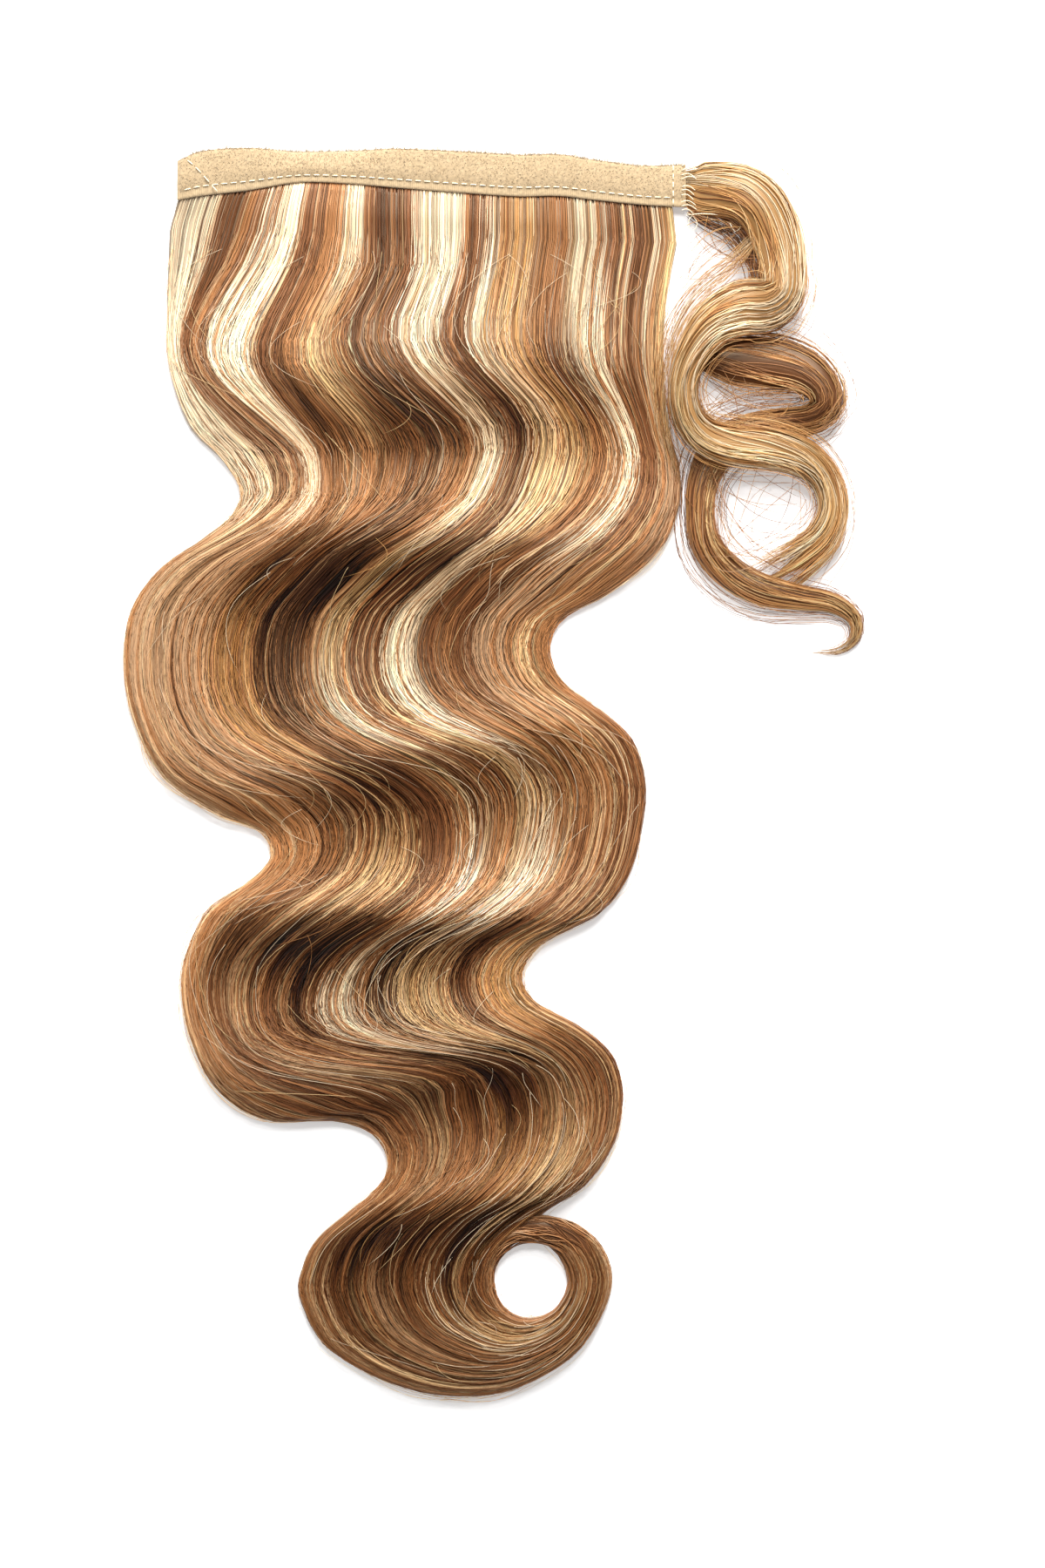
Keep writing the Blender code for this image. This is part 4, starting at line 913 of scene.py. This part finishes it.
# Height of the pile's bed across the tape, as a share of the pile: it rises in a slope from the selvedge.
BED_SHARES = (0.175, 0.195, 0.225, 0.27, 0.32, 0.38, 0.45, 0.90, 0.93, 0.9625, 0.99, 1.0)
BED_HEIGHTS = (0.0, 0.10, 0.22, 0.36, 0.50, 0.62, 0.72, 0.72, 0.60, 0.35, 0.15, 0.0)


def tape_surface(along, width_share, on_ground, on_pile):
    """Point of the tape: across by its edges' table, and up by its underside, its ground and its pile.

    The upper edge is rolled down by the square of the share past where the roll starts.
    """
    upper, lower, roll = tape_edges(along)
    ends = np.minimum(along, 1 - along) * TAPE_LENGTH
    pile = TAPE_PILE * np.clip(ends / PILE_END_MARGIN, 0.15, 1)
    rolled = np.clip((width_share - TAPE_ROLL_START) / (1 - TAPE_ROLL_START), 0, 1) ** 2
    x = along * TAPE_LENGTH
    y = lower + width_share * (upper - lower)
    z = TAPE_BOTTOM - roll * rolled + on_ground * TAPE_GROUND + on_pile * pile
    return np.stack(np.broadcast_arrays(x, y, z), axis=-1) + SHIFT


def make_tape_ground():
    """Woven ground of the tape as a closed strip: the selvedge is ribbed across, the rest is the pile's bed.

    The ribs are a cosine of the way along the tape, in height, at the lower edge and in tone: painted light on their
    crests and painted shade between them.
    """
    along = np.linspace(0, 1, TAPE_STATIONS)[:, None]
    inner = TAPE_SELVEDGE / TAPE_WIDTH
    under = [(w, 0, 0, 0) for w in (0.01, 0.3, 0.5, 0.7, 0.85, 0.99)]
    bed = [(w, 1, h, 0) for w, h in zip(BED_SHARES, BED_HEIGHTS)]
    selvedge = [(inner, 1, 0, 0.6), (inner * 0.66, 1, 0, 1), (inner * 0.33, 1, 0, 1), (0.01, 0.9, 0, 1)]
    top = [(1, 0.5, 0, 0)] + bed[-2:0:-1] + selvedge + [(0, 0.5, 0, 0.5)]
    share, ground, pile, rib = np.array(under + top).T
    points = tape_surface(along, share[None, :], ground[None, :], pile[None, :])
    ribs = np.cos(2 * np.pi * along * TAPE_LENGTH / RIB_PITCH)
    points[:, :, 2] += RIB_HEIGHT * rib * ribs
    points[:, -1, 1] += RIB_EDGE * ribs[:, 0]
    # Painted light and shade: the ribs' tone is lighter on their crests and darker between them.
    tone = 1 + 0.13 * rib * ribs
    ends = [points[0].mean(axis=0), points[-1].mean(axis=0)]
    return put_sweep("tape_ground", points, ends, np.repeat(tone[:, :, None], 3, axis=2), 1.0)


def make_tape_pile(count=6400, seed=41):
    """Brushed loop pile: short bent tufts that lean every way, and outwards over the tape's free upper edge.

    A quarter of them stand at that edge and are longer and thinner. A tuft is three rings on a sine arch.
    """
    rng = np.random.default_rng(seed)
    along = (rng.uniform(0, 1, count) * (TAPE_LENGTH - 1.2 * MM) + 0.6 * MM) / TAPE_LENGTH
    inner = TAPE_SELVEDGE / TAPE_WIDTH
    share = inner + 0.015 + (1 - inner - 0.02) * rng.uniform(0, 1, count)
    edge = np.arange(count) < count // 4
    share[edge] = rng.uniform(0.955, 0.999, count // 4)
    foot = tape_surface(along, share, 1.0, np.interp(share, BED_SHARES, BED_HEIGHTS) - 0.05)
    lean = rng.uniform(0, 2 * np.pi, count)
    out = np.stack([np.cos(lean), np.sin(lean), np.zeros(count)], axis=-1)
    out[:, 1] += 1.1 * ease((share - 0.88) / 0.1) - 0.5 * ease((inner + 0.06 - share) / 0.06)
    height = rng.uniform(0.35, 1.0, count) * TAPE_PILE * 0.32
    reach = rng.uniform(0.10, 0.40, count) * MM * np.where(edge, 3.6, 1.0)
    s = np.linspace(0, 1, 3)[None, :, None]
    centres = foot[:, None, :] + out[:, None, :] * reach[:, None, None] * s**1.6
    centres[:, :, 2] += height[:, None] * np.sin(s[:, :, 0] * 2.1) / np.sin(2.1 * 0.75)
    thick = rng.uniform(0.07, 0.13, count)[:, None] * MM * np.where(edge, 0.7, 1.0)[:, None]
    radius = thick * np.array([0.9, 1.0, 0.4])
    tone = np.clip(rng.normal(1.0, 0.24, count), 0.5, 1.6)[:, None, None]
    # Painted shade at each tuft's foot and painted light at its tip; the tone before it differs at random from tuft
    # to tuft.
    tone = tone * np.array([0.88, 1.0, 1.15])[None, :, None]
    return put_strands("tape_pile", centres, radius, np.broadcast_to(tone, centres.shape), seed)


# Sewing thread: the lockstitches, the shares of the tape's length between which they run, half the thread's thickness
# as it is drawn, and the whipping's, which is thinner.
STITCH_PITCH = 3.5 * MM
STITCH_LENGTH = 2.2 * MM
STITCHES_FROM, STITCHES_TO = 0.02, 0.975
STITCH_RADIUS, WHIPPING_RADIUS = 0.23 * MM, 0.17 * MM
# The whipping runs from this pixel to this one down the photo.
WHIPPING_FROM, WHIPPING_TO = 189, 242


def make_stitches():
    """Lockstitches just above the selvedge, up the tape's right end, and slanting at its left end.

    Each is a straight thread whose middle is raised by a cosine.
    """
    along = np.arange(STITCHES_FROM * TAPE_LENGTH, STITCHES_TO * TAPE_LENGTH, STITCH_PITCH)
    inner = TAPE_SELVEDGE / TAPE_WIDTH
    s = np.linspace(-0.5, 0.5, 6)[None, :]
    x = along[:, None] + STITCH_LENGTH * s
    row = tape_surface(x / TAPE_LENGTH, np.full_like(x, inner + 0.035), 1.0, 0.2)
    up_end = np.linspace(0.1, 0.9, 5)[:, None] + 0.13 * s
    end = tape_surface(np.full_like(up_end, STITCHES_TO), up_end, 1.0, 0.9)
    slant = np.linspace(0.12, 0.8, 4)[:, None] + 0.14 * s
    left = tape_surface(0.012 + 0.07 * (1 - slant), slant, 1.0, 0.85)
    centres = np.concatenate([row, end, left])
    centres[:, :, 2] += 0.22 * MM * np.cos(np.pi * s) - 0.04 * MM
    radius = np.full(centres.shape[:2], STITCH_RADIUS)
    shade = np.broadcast_to(linear(THREAD_BEIGE), centres.shape)
    return put_strands("tape_stitches", centres, radius, shade, 43, sides=5)


# Thread ends of the whipping: pixels across and down, and height in millimetres.
THREAD_LOOPS = [
    [
        (789, 243, 5.6), (797, 248, 5.8), (801, 256, 5.6), (797, 263, 5.2), (791, 259, 5.0), (792, 250, 5.2),
        (797, 245, 5.4),
    ],
    [
        (788, 246, 5.4), (806, 245, 7.6), (826, 247, 8.4), (843, 251, 8.6), (851, 259, 8.2), (844, 266, 7.8),
        (838, 256, 8.0),
    ],
]


def make_whipping(count=10, stations=13, seed=47):
    """Thread whipped over the tape's right end into the tress, as sine arches side by side, and two loose ends."""
    rng = np.random.default_rng(seed)
    s = np.linspace(0, 1, stations)
    down = np.linspace(WHIPPING_FROM, WHIPPING_TO, count)[:, None] + rng.uniform(-1.5, 1.5, (count, 1))
    x = TAPE_END_PX[0] + TAPE_LENGTH / PIXEL - 5 + (15 + rng.uniform(-3, 3, (count, 1))) * s
    y = down - 3.0 * np.sin(np.pi * s) + rng.uniform(-2, 6, (count, 1)) * s
    z = 6.9 + 0.5 * np.sin(np.pi * s) - 0.3 * s + np.zeros((count, 1))
    arches = np.stack([x, y, z], axis=-1)
    loops = [smooth_rows(rows, np.arange(len(rows)), s * (len(rows) - 1)) for rows in THREAD_LOOPS]
    pixels = np.concatenate([arches, loops]).reshape(-1, 3)
    centres = photo_lock(np.column_stack([pixels, pixels[:, :2]]))[:, :3].reshape(-1, stations, 3)
    radius = np.full(centres.shape[:2], WHIPPING_RADIUS)
    shade = np.broadcast_to(linear(THREAD_BEIGE), centres.shape)
    return put_strands("tape_whipping", centres, radius, shade, seed, sides=5)


def add(tree, kind, links=None, **settings):
    """One node of this kind: settings go to its properties or input sockets, links join sockets to its inputs."""
    node = tree.nodes.new(kind)
    for key, value in settings.items():
        if key in node.inputs:
            node.inputs[key].default_value = value
        else:
            setattr(node, key, value)
    for key, source in (links or {}).items():
        tree.links.new(source, node.inputs[key])
    return node


def two_shades(tree, factor, low, high):
    """Colour that goes from one sRGB shade to the other with a factor."""
    mixed = add(tree, "ShaderNodeMix", {"Factor": factor}, data_type="RGBA")
    mixed.inputs["A"].default_value = (*linear(low), 1)
    mixed.inputs["B"].default_value = (*linear(high), 1)
    return mixed.outputs["Result"]


def scaled(tree, colour, share):
    """Colour times a share."""
    return add(tree, "ShaderNodeVectorMath", {0: colour, "Scale": share}, operation="SCALE").outputs["Vector"]


def finish_shader(tree, shader, colour, height=None, strength=0.0, distance=0.0):
    """Colour of a shader, and the bumps of a height of this many metres."""
    tree.links.new(colour, shader.inputs["Base Color"])
    if height is not None:
        bump = add(tree, "ShaderNodeBump", {"Height": height}, Strength=strength, Distance=distance)
        tree.links.new(bump.outputs["Normal"], shader.inputs["Normal"])


def new_material(name, **settings):
    """Material with one Principled shader, whose constant sockets are set directly."""
    made = bpy.data.materials.new(name)
    made.use_nodes = True
    shader = made.node_tree.nodes["Principled BSDF"]
    for key, value in settings.items():
        shader.inputs[key.replace("_", " ")].default_value = value
    return made, made.node_tree, shader


def human_hair():
    """Dyed human hair, waved with a hot iron: glossy along its cuticle, fine lines of lighter and darker hairs.

    The lines are noise on the piece's own flow map, whose second side counts millimetres along the strand: it is
    stretched to 20 mm there, and narrow across.
    """
    made, tree, shader = new_material(
        "dyed_waved_human_hair", IOR=1.55, Roughness=0.36, Specular_IOR_Level=0.42, Specular_Tint=(1.0, 0.84, 0.62, 1)
    )
    colour = add(tree, "ShaderNodeAttribute", attribute_name="tint")
    flow = add(tree, "ShaderNodeUVMap", uv_map="flow")
    lines = add(tree, "ShaderNodeMapping", {"Vector": flow.outputs["UV"]}, Scale=(4.0, 0.05, 1.0))
    fine = add(tree, "ShaderNodeTexNoise", {"Vector": lines.outputs["Vector"]}, Scale=1.0, Detail=2.0, Roughness=0.6)
    tone = add(tree, "ShaderNodeMapRange", {"Value": fine.outputs["Fac"]}, **{"To Min": 0.62, "To Max": 1.22})
    tinted = scaled(tree, colour.outputs["Color"], tone.outputs["Result"])
    finish_shader(tree, shader, tinted, fine.outputs["Fac"], 0.25, 0.10 * MM)
    return made


def nylon_pile():
    """Nylon loop pile, brushed up from a warp-knitted ground: matt and soft, with cloudy patches of lie, 4 mm wide.

    Finer noise, 1 mm wide, stands for single loops. The piece's own tint holds its tufts' random tones, and painted
    light and shade: on each tuft from its foot to its tip, and on the ribs' crests and between them.
    """
    made, tree, shader = new_material(
        "brushed_nylon_loop_pile", IOR=1.53, Roughness=0.9, Sheen_Weight=0.35, Sheen_Roughness=0.5
    )
    where = add(tree, "ShaderNodeTexCoord")
    cloud = add(tree, "ShaderNodeTexNoise", {"Vector": where.outputs["Object"]}, Scale=260.0, Detail=3.0)
    fuzz = add(tree, "ShaderNodeTexNoise", {"Vector": where.outputs["Object"]}, Scale=900.0, Detail=2.0)
    nylon = two_shades(tree, cloud.outputs["Fac"], "AB926E", "BEA682")
    span = {"From Min": 0.3, "From Max": 0.7, "To Min": 0.78, "To Max": 1.12}
    tips = add(tree, "ShaderNodeMapRange", {"Value": fuzz.outputs["Fac"]}, **span)
    tinted = scaled(tree, nylon, tips.outputs["Result"])
    tuft = add(tree, "ShaderNodeAttribute", attribute_name="tint")
    # The tint carries the tufts' own tones and the painted light and shade of tufts and ribs.
    toned = add(tree, "ShaderNodeVectorMath", {0: tinted, 1: tuft.outputs["Color"]}, operation="MULTIPLY")
    finish_shader(tree, shader, toned.outputs["Vector"], fuzz.outputs["Fac"], 0.35, 0.20 * MM)
    return made


def sewing_thread():
    """Spun polyester sewing thread: matt, with a slanting ply 0.4 mm apart."""
    made, tree, shader = new_material("spun_polyester_thread", IOR=1.54, Roughness=0.7)
    where = add(tree, "ShaderNodeTexCoord")
    turned = add(tree, "ShaderNodeMapping", {"Vector": where.outputs["Object"]}, Rotation=(0, 0, 0.7))
    ply = add(tree, "ShaderNodeTexWave", {"Vector": turned.outputs["Vector"]}, Scale=2500.0 / 6.28)
    finish_shader(tree, shader, two_shades(tree, ply.outputs["Fac"], "E3D3AF", "FFF6DF"))
    return made


def moulded_hooks():
    """Moulded nylon hook tape: a smooth base with hooks 1.3 mm apart, drawn as round bumps."""
    made, tree, shader = new_material("moulded_nylon_hooks", IOR=1.53, Roughness=0.5)
    where = add(tree, "ShaderNodeTexCoord")
    hooks = add(tree, "ShaderNodeTexVoronoi", {"Vector": where.outputs["Object"]}, Scale=1000.0 / 1.3, Randomness=0.1)
    nylon = two_shades(tree, hooks.outputs["Distance"], "EAD9AE", "B79F6E")
    finish_shader(tree, shader, nylon, hooks.outputs["Distance"], 0.6, 0.4 * MM)
    return made


def dress(piece, finish, slot, *nodes):
    """Gives a piece its material and body, and hides the CAD nodes that it stands for. slot is not used."""
    piece.data.materials.append(finish)
    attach(piece, "root")
    if nodes:
        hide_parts(*nodes)


hair, pile, thread, hooks = human_hair(), nylon_pile(), sewing_thread(), moulded_hooks()

dress(make_hair_body(), hair, "hair", "hair_fall")
# Layers from the inside out: name, strands, rings, half thickness, lift, share of loose ones, mix, seed.
for layer in (
    ("hair_strands_inner", 340, 62, 0.25 * MM, 0.15 * MM, 0.0, 0.10, 101),
    ("hair_strands_middle", 350, 84, 0.18 * MM, 0.35 * MM, 0.12, 0.18, 202),
    ("hair_strands_outer", 380, 82, 0.12 * MM, 0.65 * MM, 0.45, 0.30, 303),
):
    dress(make_fall_strands(*layer), hair, "hair")
dress(make_loose_hairs(), hair, "hair")

front = np.concatenate([sewn_head(), tress_table(FRONT_LOCK)])
tail = tress_table(TAIL_LOCK)
dress(make_lock_core("tress_front_core", front, GOLD), hair, "hair", "wrap_tress")
dress(make_lock_core("tress_tail_core", tail, BROWN), hair, "hair")
veil, underside, curl_end = photo_lock(TRESS_VEIL), photo_lock(TRESS_UNDERSIDE), photo_lock(CURL_END)
# Locks: name, table, strands, rings, half thickness, twist, shades from dark to pale, seed, and the rest by name.
for *lock, more in (
    (
        "tress_front_strands", front, 250, 66, 0.22 * MM, 2.2, (BROWN, CARAMEL, GOLD, BLOND, PLATINUM, PLATINUM), 51,
        dict(spread=(0.62, 1.0), parts=(0.90, 1.0), outer=0.18, lights=FRONT_LIGHTS),
    ),
    (
        "tress_tail_strands", tail, 140, 66, 0.22 * MM, 2.6, (DARK_BROWN, BROWN, CARAMEL, CARAMEL, GOLD, BLOND), 61,
        dict(spread=(0.66, 1.0), paler=0.55, lights=TAIL_LIGHTS),
    ),
    (
        "tress_front_stray", front, 130, 16, 0.10 * MM, 3.0, (BROWN, CARAMEL, GOLD, BLOND), 71,
        dict(spread=(1.0, 1.9), parts=(0.12, 0.40)),
    ),
    (
        "tress_tail_stray", tail, 150, 16, 0.10 * MM, 3.0, (DARK_BROWN, BROWN, CARAMEL, GOLD), 81,
        dict(spread=(1.0, 2.1), parts=(0.12, 0.40)),
    ),
    (
        "tress_veil", veil, 46, 32, 0.09 * MM, 1.6, (CARAMEL, GOLD, BLOND, PLATINUM), 91,
        dict(spread=(0.1, 1.2), parts=(0.82, 1.0)),
    ),
    # The underside's dark browns are brown hair darkened as painted shade under the first arc.
    (
        "tress_underside", underside, 60, 26, 0.20 * MM, 1.2, (DARK_BROWN, DARK_BROWN, BROWN, CARAMEL), 97,
        dict(spread=(0.2, 1.0), parts=(0.84, 1.0)),
    ),
):
    dress(make_lock_strands(*lock, **more), hair, "hair")
dress(make_tress_loose(), hair, "hair")
dress(make_lock_core("curl_end_core", curl_end, BROWN), hair, "hair")
curl_shades = (DARK_BROWN, BROWN, CARAMEL, BEIGE)
curl_strands = make_lock_strands("curl_end_strands", curl_end, 80, 28, 0.22 * MM, 1.0, curl_shades, 95, (0.8, 1.1))
dress(curl_strands, hair, "hair")

dress(make_tape_ground(), pile, "loop_tape", "loop_tape")
dress(make_tape_pile(), pile, "loop_tape")
dress(make_stitches(), thread, "loop_tape")
dress(make_whipping(), thread, "loop_tape")

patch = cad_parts["hook_patch"]
patch.data.materials.clear()
patch.data.materials.append(hooks)


# Half the floor's side, how far it lies below the piece, and the height of the hair that the camera is set for.
FLOOR_REACH = 6
FLOOR_GAP = 0.02 * MM
HAIR_LEVEL = 0.008


def studio():
    """Pale floor, a large key light from beyond the tape, soft fills, and the camera straight above the middle.

    The camera is as high as the photo's frame times its lens over its sensor, and each light is aimed at the origin.
    """
    corners = [(x * FLOOR_REACH, y * FLOOR_REACH, -FLOOR_GAP) for x, y in ((-1, -1), (1, -1), (1, 1), (-1, 1))]
    floor = put_mesh("studio_floor", corners, [(0, 1, 2, 3)])
    made, _, _ = new_material(
        "white_light_table", Base_Color=(0.9, 0.9, 0.9, 1), Roughness=0.9,
        Emission_Color=(1, 1, 1, 1), Emission_Strength=0.36,
    )
    floor.data.materials.append(made)
    world = bpy.data.worlds.new("studio_air")
    world.use_nodes = True
    world.node_tree.nodes["Background"].inputs["Color"].default_value = (1, 1, 1, 1)
    world.node_tree.nodes["Background"].inputs["Strength"].default_value = 0.22
    bpy.context.scene.world = world
    # Name, place and size in metres, and power in watts.
    lights = (
        ("key_light", (0.15, 1.35, 1.05), 0.60, 42.0),
        ("gloss_light", (0.05, 0.80, 1.45), 0.35, 16.0),
        ("left_fill", (-1.4, 0.1, 0.55), 0.9, 7.0),
        ("right_fill", (1.4, 0.0, 0.55), 0.9, 5.0),
    )
    for name, place, size, power in lights:
        lamp = bpy.data.lights.new(name, "AREA")
        lamp.size, lamp.energy = size, power
        made = bpy.data.objects.new(name, lamp)
        made.location = place
        aim = -np.array(place)
        made.rotation_euler = (
            np.arctan2(np.hypot(aim[0], aim[1]), -aim[2]), 0, np.arctan2(-aim[0], aim[1])
        )
        bpy.context.scene.collection.objects.link(made)
    camera = bpy.data.cameras.new("photo_camera")
    camera.lens, camera.sensor_width = 85.0, 36.0
    made = bpy.data.objects.new("photo_camera", camera)
    made.location = *PHOTO_CENTRE, FRAME_HEIGHT * camera.lens / camera.sensor_width + HAIR_LEVEL
    bpy.context.scene.collection.objects.link(made)
    bpy.context.scene.camera = made
    bpy.context.scene.view_settings.view_transform = "Standard"


studio()
